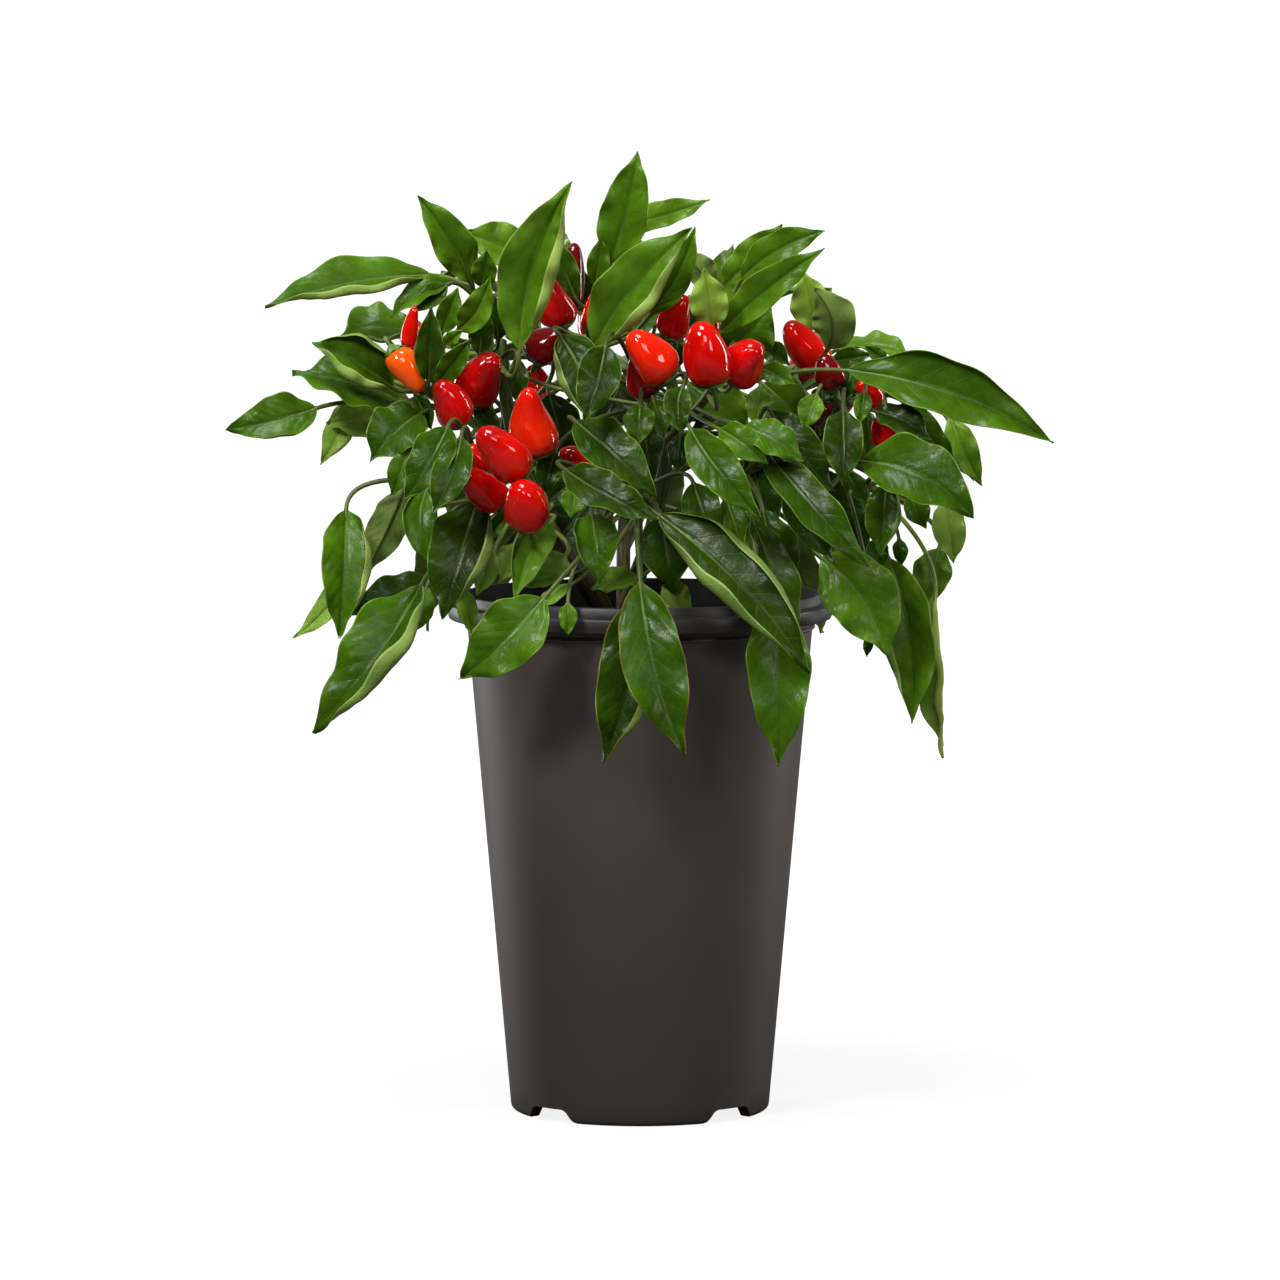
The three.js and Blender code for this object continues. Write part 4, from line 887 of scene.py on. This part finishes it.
def leaf_material(name, tones, vein, rough, gloss, underside):
    paint = Paint(name, tones[1][1], Specular_IOR_Level=gloss)
    body = paint.position()
    across, along, _ = paint.parts(paint.over("blade"))
    phase, far, _ = paint.parts(paint.over("veins"))

    # Side veins, the midrib and the fine net between them
    wiggle = paint.times(paint.less(paint.noise(body, 90.0, 2), 0.5), 0.22)
    waved = paint.maths("ADD", phase, wiggle)
    from_vein = paint.maths("ABSOLUTE", paint.less(paint.maths("FRACT", waved), 0.5))
    edge = paint.maths("ABSOLUTE", paint.less(across, 0.5))
    reach = paint.scaled(paint.between(edge, 0.5, 0.3), 0.7, 0.3)
    side_vein = paint.times(paint.between(from_vein, 0.44, 0.5), reach)
    narrowing = paint.scaled(along, -0.035, 0.05)
    midrib = paint.between(paint.maths("DIVIDE", far, narrowing), 1.5, 0.5)
    net = paint.node("TexVoronoi", {"Vector": body, "Scale": 520.0}, feature="DISTANCE_TO_EDGE").outputs[0]
    net = paint.between(net, 0.12, 0.0)
    margin = paint.between(edge, 0.475, 0.492)

    # Painted shade: leaves deep in the bush are darker than the outer ones, for the light that does not reach
    # them
    from_middle = paint.node("Mapping", {"Vector": body, "Location": (0, 0, -3.06), "Scale": (9, 12, 12)})
    painted_bush_shade = paint.between(paint.length(from_middle.outputs[0]), 0.85, 0.35)
    patches = paint.times(paint.less(paint.noise(body, 60.0, 3), 0.5), 0.35)
    quilt = paint.noise(body, 210.0, 2)
    shade = paint.maths("ADD", paint.attribute("tone"), patches, clamp=True)
    shade = paint.scaled(paint.less(quilt, 0.5), 0.3, shade)
    shade = paint.scaled(painted_bush_shade, -0.25, shade)
    # Painted light: the blade is brighter towards its edges, where light shines through it
    shade = paint.scaled(paint.between(edge, 0.1, 0.5), 0.12, shade, clamp=True)
    colour = paint.ramp(shade, tones)
    bright = paint.blended(0.5, colour, vein)
    # Painted shade: the sunken midrib on the upper side is nearly black towards the tip and pale only near
    # the stalk
    groove = paint.blended(0.6, colour, (0.004, 0.012, 0.001))
    rib = vein if underside else paint.blended(paint.between(along, 0.05, 0.5), vein, groove)
    colour = paint.blended(paint.times(net, 0.07), colour, bright)
    colour = paint.blended(paint.times(side_vein, 0.3 if underside else 0.07), colour, vein)
    colour = paint.blended(paint.times(midrib, 0.5), colour, rib)
    colour = paint.blended(paint.times(margin, 0.6), colour, vein)
    blotch = paint.scaled(paint.noise(body, 160.0, 5), 0.55, paint.attribute("dry"))
    colour = paint.blended(paint.between(blotch, 0.85, 1.25), colour, (0.16, 0.065, 0.018))

    rough = paint.scaled(paint.noise(body, 110.0, 3), 0.2, rough - 0.1)
    rough = paint.scaled(side_vein, 0.06, rough, clamp=True)
    sunk = 0.9 if underside else -0.22
    height = paint.scaled(midrib, sunk, paint.times(side_vein, sunk))
    height = paint.scaled(net, sunk * 0.35, height)
    height = paint.scaled(paint.noise(body, 900.0, 3), 0.15, height)
    height = paint.scaled(quilt, 1.5, height)
    return paint.finish(colour, height, 0.55, 0.00025, rough)


def stalk_material():
    paint = Paint("stalk", (0.12, 0.25, 0.05), Roughness=0.42, Specular_IOR_Level=0.3)
    green = paint.ramp(paint.attribute("tone"), [(0.0, (0.035, 0.055, 0.007)), (0.5, (0.085, 0.12, 0.018)),
                                                 (1.0, (0.2, 0.25, 0.035))])
    streaks = paint.noise(paint.over("blade"), 1.0, 5, 0.6, (9.0, 0.9, 1.0))
    purple = paint.times(paint.between(streaks, 0.54, 0.66), 0.75)
    spots = paint.between(paint.noise(paint.position(), 300.0, 4), 0.6, 0.72, 0.0, 0.5)
    colour = paint.blended(purple, green, (0.045, 0.018, 0.014))
    colour = paint.blended(spots, colour, (0.2, 0.24, 0.09))
    return paint.finish(colour, streaks, 0.4, 0.0003)


# Woody and brown in the soil, green and purple further up
def stem_material():
    paint = Paint("woody_stem", (0.06, 0.09, 0.03), Specular_IOR_Level=0.16)
    streaks = paint.noise(paint.over("blade"), 1.0, 6, 0.65, (12.0, 0.5, 1.0))
    low = paint.between(paint.parts(paint.position())[2], 0.18, 0.27)
    bark = paint.ramp(streaks, [(0.38, (0.014, 0.007, 0.004)), (0.52, (0.045, 0.036, 0.012)),
                                (0.68, (0.1, 0.088, 0.028))])
    young = paint.ramp(streaks, [(0.38, (0.022, 0.012, 0.008)), (0.5, (0.036, 0.06, 0.009)),
                                 (0.68, (0.085, 0.125, 0.018))])
    colour = paint.blended(low, bark, young)
    return paint.finish(colour, streaks, 0.7, 0.0006, paint.scaled(streaks, 0.3, 0.45))


def calyx_material():
    paint = Paint("calyx", (0.09, 0.2, 0.03), Roughness=0.5, Specular_IOR_Level=0.4)
    ribs = paint.noise(paint.over("blade"), 1.0, 4, 0.6, (24.0, 3.0, 1.0))
    colour = paint.ramp(ribs, [(0.3, (0.035, 0.09, 0.012)), (0.55, (0.09, 0.2, 0.028)),
                               (0.8, (0.2, 0.32, 0.07))])
    return paint.finish(colour, ribs, 0.5, 0.0004)


def fruit_material():
    paint = Paint("fruit_skin", (0.5, 0.01, 0.005), Specular_IOR_Level=0.36, Coat_Weight=0.05,
                  Coat_Roughness=0.04)
    body = paint.position()
    clouds = paint.noise(body, 55.0, 3)
    shade = paint.scaled(paint.less(clouds, 0.5), 0.55, paint.attribute("tone"))
    shade = paint.scaled(paint.less(0.35, paint.attribute("dry")), 0.12, shade, clamp=True)
    # The dark end of the ramp is painted shade for fruits deep in the plant; the orange end is ripeness
    colour = paint.ramp(shade, [(0.0, (0.04, 0.0015, 0.002)), (0.3, (0.2, 0.0015, 0.0015)),
                                (0.5, (0.55, 0.002, 0.0015)), (0.75, (0.74, 0.02, 0.0015)),
                                (1.0, (0.8, 0.1, 0.003))])
    fine = paint.noise(body, 420.0, 3)
    colour = paint.blended(paint.between(fine, 0.62, 0.72, 0.0, 0.25), colour, (0.85, 0.1, 0.03))
    return paint.finish(colour, paint.scaled(clouds, 3.0, fine), 0.12, 0.0003, paint.scaled(fine, 0.06, 0.04))


# Warm dark grey, with painted shade: darker towards the feet, and nearly black on the rim's outer edge
def pot_material():
    paint = Paint("pot_plastic", (0.05, 0.04, 0.035), Specular_IOR_Level=0.4)
    body = paint.position()
    height = paint.parts(body)[2]
    clouds = paint.noise(body, 14.0, 4)
    fine = paint.noise(body, 900.0, 3)
    rings = paint.noise(body, 1.0, 3, 0.5, (3.0, 3.0, 260.0))
    colour = paint.ramp(clouds, [(0.3, (0.055, 0.044, 0.037)), (0.7, (0.067, 0.055, 0.047))])
    # Painted shade: darker towards the feet
    colour = paint.blended(paint.between(height, 0.16, 0.0, 0.0, 0.85), colour, (0.03, 0.023, 0.018))
    # Painted shade: the outer edge of the rim, the same plastic as the rest, is painted nearly black
    flat = paint.node("VectorMath", {0: body, 1: (1, 1, 0)}, operation="MULTIPLY").outputs[0]
    outside = paint.between(paint.length(flat), 0.0645, 0.0668)
    rim = paint.times(paint.between(height, 0.18, 0.188), outside)
    colour = paint.blended(paint.times(rim, 0.85), colour, (0.016, 0.015, 0.016))
    dust = paint.between(paint.noise(body, 38.0, 6, 0.7), 0.58, 0.8, 0.0, 0.22)
    colour = paint.blended(dust, colour, (0.06, 0.052, 0.045))
    rough = paint.scaled(fine, 0.1, paint.scaled(clouds, 0.16, 0.34))
    return paint.finish(colour, paint.scaled(rings, 1.2, fine), 0.12, 0.0003, rough)


# The inner wall: the same plastic with painted shade, nearly black for the shade inside the pot
def pot_inside_material():
    paint = Paint("pot_inner_wall_painted_shade", (0.005, 0.005, 0.005), Specular_IOR_Level=0.12)
    fine = paint.noise(paint.position(), 300.0, 4)
    colour = paint.ramp(fine, [(0.35, (0.002, 0.002, 0.002)), (0.7, (0.009, 0.008, 0.007))])
    return paint.finish(colour, fine, 0.2, 0.0004, paint.scaled(fine, 0.2, 0.55))


def soil_material():
    paint = Paint("potting_soil", (0.012, 0.009, 0.007), Roughness=0.95, Specular_IOR_Level=0.25)
    crumbs = paint.noise(paint.position(), 260.0, 7, 0.75)
    colour = paint.ramp(crumbs, [(0.35, (0.006, 0.004, 0.003)), (0.55, (0.02, 0.014, 0.009)),
                                 (0.7, (0.05, 0.032, 0.02)), (0.8, (0.11, 0.08, 0.05))])
    return paint.finish(colour, crumbs, 0.9, 0.0012)


leaf_upper = leaf_material("leaf_upper", [
    (0.0, (0.009, 0.024, 0.001)), (0.3, (0.024, 0.066, 0.0005)), (0.55, (0.05, 0.128, 0.003)),
    (0.8, (0.115, 0.235, 0.014)), (1.0, (0.21, 0.36, 0.045))], (0.17, 0.26, 0.03), 0.28, 0.13, False)
leaf_under = leaf_material("leaf_under", [
    (0.0, (0.075, 0.13, 0.02)), (0.5, (0.15, 0.23, 0.04)), (1.0, (0.27, 0.36, 0.06))],
    (0.3, 0.38, 0.11), 0.6, 0.2, True)
foliage_materials = [leaf_upper, leaf_under, stalk_material(), calyx_material()]
fruit_skin = fruit_material()


# Side stems with their leaves

def seeded_shares(state):
    while True:
        state = (state * SHARE_FACTOR) % SHARE_MODULUS
        yield state / SHARE_MODULUS - 0.5


def far_stems():
    shares = seeded_shares(FAR_SEED)
    stems = [(*stem, []) for stem in FAR_STEMS]
    number = FIRST_FAR_LEAF
    for level, (count, first, last, base_at, tip_at, width) in enumerate(FAR_ROWS):
        for index in range(count):
            bearing = first + (last - first) / (count - 1) * (index + 0.3 * next(shares))
            angle = math.radians(bearing)
            turned = angle + 0.25 * next(shares)
            reach = tip_at[0] * (1 + 0.08 * next(shares))
            rise = 12 * next(shares)
            base = [base_at[0] * math.cos(angle), base_at[0] * math.sin(angle), base_at[1] + rise]
            tip = [reach * math.cos(turned), reach * math.sin(turned), tip_at[1] + rise + 10 * next(shares)]
            faces = [math.cos(angle), math.sin(angle), 1.4]
            leaf = [number, base, tip, width * (1 + 0.2 * next(shares)), faces,
                    6 + 5 * next(shares), 6 * next(shares), 16 + 8 * next(shares)]
            for *_, (start, end), (low, high), _, leaves in stems:
                if start <= bearing < end and low <= level <= high:
                    leaves.append(leaf)
                    break
            number += 1
    return [(name, radii, path, leaves, fruits) for name, radii, path, _, _, fruits, leaves in stems]


tone_draw = np.random.default_rng(7)
default_tones = {number: tone_draw.uniform(0.22, 0.62) for number in range(1, MOST_LEAVES)}

for name, radii, path, leaves, fruits in SIDE_STEMS + far_stems():
    line = even_curve(path, STEM_STEPS)
    foliage = Gathering()
    points, faces, tube_map = tube(line, radii, STEM_SIDES, STEM_LOBES)
    foliage.add(points, faces, 2, tube_map, 0.45)
    for leaf in leaves:
        number = leaf[0]
        add_leaf(foliage, line, leaf + LEAF_REST[len(leaf) - 4:],
                 (LEAF_TONES_AND_PAINTED_LIGHT.get(number, default_tones[number]), *LEAF_CURLS.get(number, (0, 0)),
                  LEAF_DRYNESS.get(number, 0)))
    for fruit in fruits:
        add_calyx(foliage, line, fruit)
        fruit_piece(fruit)
    foliage.piece(f"leafy_stem_{name}_foliage", foliage_materials, "foliage", f"leafy_stem_{name}")

trunk = Gathering()
for radii, path in MAIN_STEMS:
    points, faces, tube_map = tube(even_curve(path, TRUNK_STEPS), radii, TRUNK_SIDES, TRUNK_LOBES)
    trunk.add(points, faces, 0, tube_map, 0.5)
trunk.piece("forked_main_stem", [stem_material()], "stem", "main_stem")


# Pot: a turned shell with a stepped rim, cut by the notches between the feet and by the drain slots

# The outline of the shell as corners (radius, height), each with the steps from it to its points
def pot_outline():
    flange_bottom = FLANGE_TOP - FLANGE_HEIGHT
    bead = flange_bottom - BEAD_BELOW_FLANGE
    ring_inside = FOOT_RADIUS - FOOT_RING_WIDTH
    spread = WALL_TOP_RADIUS - WALL_FOOT_RADIUS
    shares = np.linspace(0, 1, WALL_RINGS)
    corners = [
        (ring_inside, FLOOR_UNDERSIDE, [(0, 0)]), (ring_inside, 0, [(0, 0.2), (0.3, 0)]),
        (FOOT_RADIUS, 0, [(0, 0), (0.9, 0.5), (1.5, 1.2)]),
        (WALL_FOOT_RADIUS, 2, [(spread * share, (bead - 2.8) * share) for share in shares]),
        (WALL_TOP_RADIUS, bead, [(0.75, -0.45), (1.1, 0), (0.9, 0.7), (0.5, 1.2)]),
        (WALL_TOP_RADIUS, flange_bottom, [(0.7, 0)]),
        (FLANGE_RADIUS, flange_bottom, [(-1, 0), (-0.3, 0.35), (0, 1.1)]),
        (FLANGE_RADIUS, FLANGE_TOP, [(0, -1.1), (-0.3, -0.4), (-1.1, 0)]),
        (COLLAR_RADIUS, FLANGE_TOP, [(0.9, 0), (0.3, 0.4)]),
        (COLLAR_RADIUS, FLANGE_TOP + COLLAR_RISE,
         [(0, -0.5), (-0.3, -0.1), (-0.65, 0), (-1.1, -0.1), (-1.4, -0.5)]),
        (WALL_TOP_RADIUS - POT_WALL, bead, [(0, 0)]),
        (WALL_FOOT_RADIUS - POT_WALL, FLOOR_TOP, [(0, FLOOR_CORNER), (-0.6, 0.6), (-FLOOR_CORNER, 0)]),
    ]
    return [(radius + out, height + up) for radius, height, steps in corners for out, up in steps]


# A bar with the outline (across, height) that reaches from one radius to another, at a bearing from the front
def cutter_bar(name, outline, near, away, bearing):
    count = len(outline)
    cos, sin = math.cos(bearing), math.sin(bearing)
    points = [(cos * x + sin * reach, sin * x - cos * reach, z) for reach in (near, away) for x, z in outline]
    faces = band_faces(0, count, count) + [list(range(count)), list(range(2 * count - 1, count - 1, -1))]
    return object_of(name, points, faces)


def notch_cutter(bearing):
    bottom, top, reach = NOTCH_BOTTOM_WIDTH / 2, NOTCH_TOP_WIDTH / 2, NOTCH_DEPTH / 2
    half = [(bottom + 1.2, -1), (bottom, 0), (bottom - 1.0, 0.5), (top + 1.6, NOTCH_HEIGHT - 1.2),
            (top + 0.8, NOTCH_HEIGHT - 0.5), (top - 0.6, NOTCH_HEIGHT)]
    outline = half + [(-x, z) for x, z in reversed(half)]
    return cutter_bar("notch_cutter", outline, FOOT_RADIUS - reach, FOOT_RADIUS + reach, bearing)


def drain_cutter(bearing):
    half, middle = DRAIN_WIDTH / 2, (FLOOR_UNDERSIDE + FLOOR_TOP) / 2
    low, high = middle - DRAIN_HEIGHT / 2, middle + DRAIN_HEIGHT / 2
    outline = [(-half, low), (half, low), (half, high), (-half, high)]
    away = FOOT_RADIUS - DRAIN_FROM_EDGE
    return cutter_bar("drain_cutter", outline, away - DRAIN_LENGTH, away, bearing)


def point_normals_out(made):
    edit = bmesh.new()
    edit.from_mesh(made.data)
    bmesh.ops.recalc_face_normals(edit, faces=edit.faces)
    edit.to_mesh(made.data)
    edit.free()


pot = object_of("nursery_pot", *closed_rings(upright_rings(pot_outline(), POT_SIDES), POT_SIDES,
                                             FLOOR_UNDERSIDE, FLOOR_TOP))
point_normals_out(pot)
for corner in range(FOOT_COUNT):
    bearing = 2 * math.pi * (corner + 0.5) / FOOT_COUNT
    for cutter in (notch_cutter(bearing), drain_cutter(bearing)):
        point_normals_out(cutter)
        cut = pot.modifiers.new("cut", "BOOLEAN")
        cut.operation = "DIFFERENCE"
        cut.solver = "EXACT"
        cut.object = cutter
        pot.data = bpy.data.meshes.new_from_object(pot.evaluated_get(bpy.context.evaluated_depsgraph_get()))
        pot.modifiers.clear()
        bpy.data.objects.remove(cutter)
pot.data.materials.clear()
finish_piece(pot, [pot_material(), pot_inside_material()], "pot")
# Faces of the inner wall above the floor get the painted shade
inner_reach = (COLLAR_RADIUS - 1.2) * MM
for face in pot.data.polygons:
    face.use_smooth = True
    above_floor = face.center.z > FLOOR_TOP * MM
    facing_in = face.normal.xy.dot(face.center.xy) < 0
    face.material_index = int(above_floor and facing_in and face.center.xy.length < inner_reach)
pot.data.set_sharp_from_angle(angle=SHARP_ANGLE)


# Soil: a plug that follows the pot's inner wall, with a crumbly top and loose crumbs on it

def soil_height(radius, angle):
    lumps = 0.9 * math.sin(5 * angle + radius * 0.21) + 0.7 * math.cos(3 * angle - radius * 0.16)
    from_wall = WALL_TOP_RADIUS - POT_WALL - radius
    return SOIL_TOP + lumps * min(1, from_wall / 20) + 0.025 * from_wall


def soil_radius(height):
    wall_foot = FLOOR_TOP + FLOOR_CORNER
    bead = FLANGE_TOP - FLANGE_HEIGHT - BEAD_BELOW_FLANGE
    slope = (WALL_TOP_RADIUS - WALL_FOOT_RADIUS) / (bead - wall_foot)
    return WALL_FOOT_RADIUS - POT_WALL - SOIL_GAP + slope * (height - wall_foot)


def crumbled(x, y):
    coarse = noise.fractal(Vector((x * 0.12, y * 0.12, 3.1)), 0.8, 2.1, 4)
    fine = noise.fractal(Vector((x * 0.55, y * 0.55, 8.7)), 0.6, 2.0, 4)
    return 0.7 * coarse + 0.9 * fine


def soil_piece():
    wide = soil_radius(SOIL_TOP)
    foot = FLOOR_TOP + SOIL_GAP
    lower = [(soil_radius(foot) - FLOOR_CORNER, foot)]
    lower += [(soil_radius(height), height) for height in (10.4, 60, 110, 150, 172, 179.5)]
    rings = upright_rings(lower, SOIL_SIDES)
    for ring in range(SOIL_RINGS):
        radius = (wide - 0.2) * (1 - ring / SOIL_RINGS)
        for a in round_angles(SOIL_SIDES):
            x, y = radius * math.cos(a), radius * math.sin(a)
            rings.append((x, y, soil_height(radius, a) + crumbled(x, y) * min(1, (wide - radius) / 3)))
    points, faces = closed_rings(rings, SOIL_SIDES, foot, soil_height(0, 0) + crumbled(0, 0))
    draw = np.random.default_rng(11)
    corners = np.array([(1, 0, 0), (-1, 0, 0), (0, 1, 0), (0, -1, 0), (0, 0, 1), (0, 0, -1)], float)
    sheet = [(0, 2, 4), (2, 1, 4), (1, 3, 4), (3, 0, 4), (2, 0, 5), (1, 2, 5), (3, 1, 5), (0, 3, 5)]
    for _ in range(CRUMBS):
        radius = (wide - 2.5) * math.sqrt(draw.uniform())
        angle = draw.uniform(0, 2 * math.pi)
        x, y = radius * math.cos(angle), radius * math.sin(angle)
        size = draw.uniform(0.4, 1.5) * draw.uniform(0.6, 1.0)
        lump = corners * draw.uniform(0.6, 1.3, (6, 1)) * size * np.array([1, 1, 0.75])
        height = soil_height(radius, angle) + crumbled(x, y) + 0.25 * size
        faces += [[len(points) + corner for corner in face] for face in sheet]
        points += [tuple(corner + (x, y, height)) for corner in lump]
    finish_piece(object_of("potting_soil", points, faces), [soil_material()], "soil")


soil_piece()


# Stage, light and camera

# The floor glows for the camera alone, a little dimmer near the pot than further out
def stage_floor():
    corners = [(-FLOOR_HALF, -FLOOR_HALF, 0), (FLOOR_HALF, -FLOOR_HALF, 0),
               (FLOOR_HALF, FLOOR_HALF, 0), (-FLOOR_HALF, FLOOR_HALF, 0)]
    floor = object_of("pale_floor", corners, [[0, 1, 2, 3]])
    paint = Paint("pale_floor", (0.9, 0.9, 0.9), Roughness=0.9, Specular_IOR_Level=0.0,
                  Base_Color=(0.12, 0.12, 0.12, 1), Emission_Color=(1, 1, 1, 1))
    glow = paint.between(paint.length(paint.position()), 0.1, 0.6, 0.86, 1.05)
    seen = paint.node("LightPath").outputs["Is Camera Ray"]
    paint.put(paint.shader["Emission Strength"], paint.times(glow, seen))
    floor.data.materials.append(paint.material)


def linked(name, data, place, aim):
    made = bpy.data.objects.new(name, data)
    made.location = place
    made.rotation_euler = (Vector(aim) - Vector(place)).to_track_quat("-Z", "Y").to_euler()
    bpy.context.scene.collection.objects.link(made)
    return made


def soft_light(name, place, aim_height, size, power):
    data = bpy.data.lights.new(name, "AREA")
    data.shape = "RECTANGLE"
    data.size, data.size_y = size
    data.energy = power
    linked(name, data, place, (0, 0, aim_height))


stage_floor()
soft_light("top_light", (-0.1, -0.45, 1.5), 0.2, (0.5, 0.5), 17)
soft_light("front_light", (0.25, -2.1, 1.35), 0.25, (0.8, 0.5), 11)
soft_light("key_light", (-0.9, -1.4, 1.5), 0.24, (0.4, 0.4), 30)
soft_light("fill_light", (1.4, -1.6, 0.9), 0.2, (0.5, 0.5), 9)
soft_light("left_strip", (-1.1, 0.9, 0.45), 0.15, (0.25, 0.9), 12)
soft_light("right_strip", (1.15, 0.5, 0.45), 0.15, (0.2, 0.9), 8)


# The room is white where the camera sees past the floor, bright behind the plant and dim in front of it
def studio_room():
    world = bpy.data.worlds.new("studio")
    world.use_nodes = True
    nodes = Nodes(world.node_tree)
    background = world.node_tree.nodes["Background"].inputs
    _, depth, height = nodes.parts(nodes.position("Generated"))
    behind = nodes.between(depth, 0.45, 0.95, 0.02, 0.7)
    strength = nodes.scaled(nodes.between(height, 0.2, 1.0), 0.15, behind)
    seen = nodes.node("LightPath").outputs["Is Camera Ray"]
    nodes.put(background["Color"], (1, 1, 1, 1))
    nodes.put(background["Strength"], nodes.node("Mix", {0: seen, 2: strength, 3: 1.1}).outputs[0])
    return world


scene = bpy.context.scene
scene.world = studio_room()
scene.view_settings.view_transform = "Standard"

camera_data = bpy.data.cameras.new("camera")
camera_data.lens = 225.96
camera_data.sensor_width = 36
camera_data.clip_end = 200
scene.camera = linked("camera", camera_data, (0, -3.0, 0.452), (0, 0, 0.177))
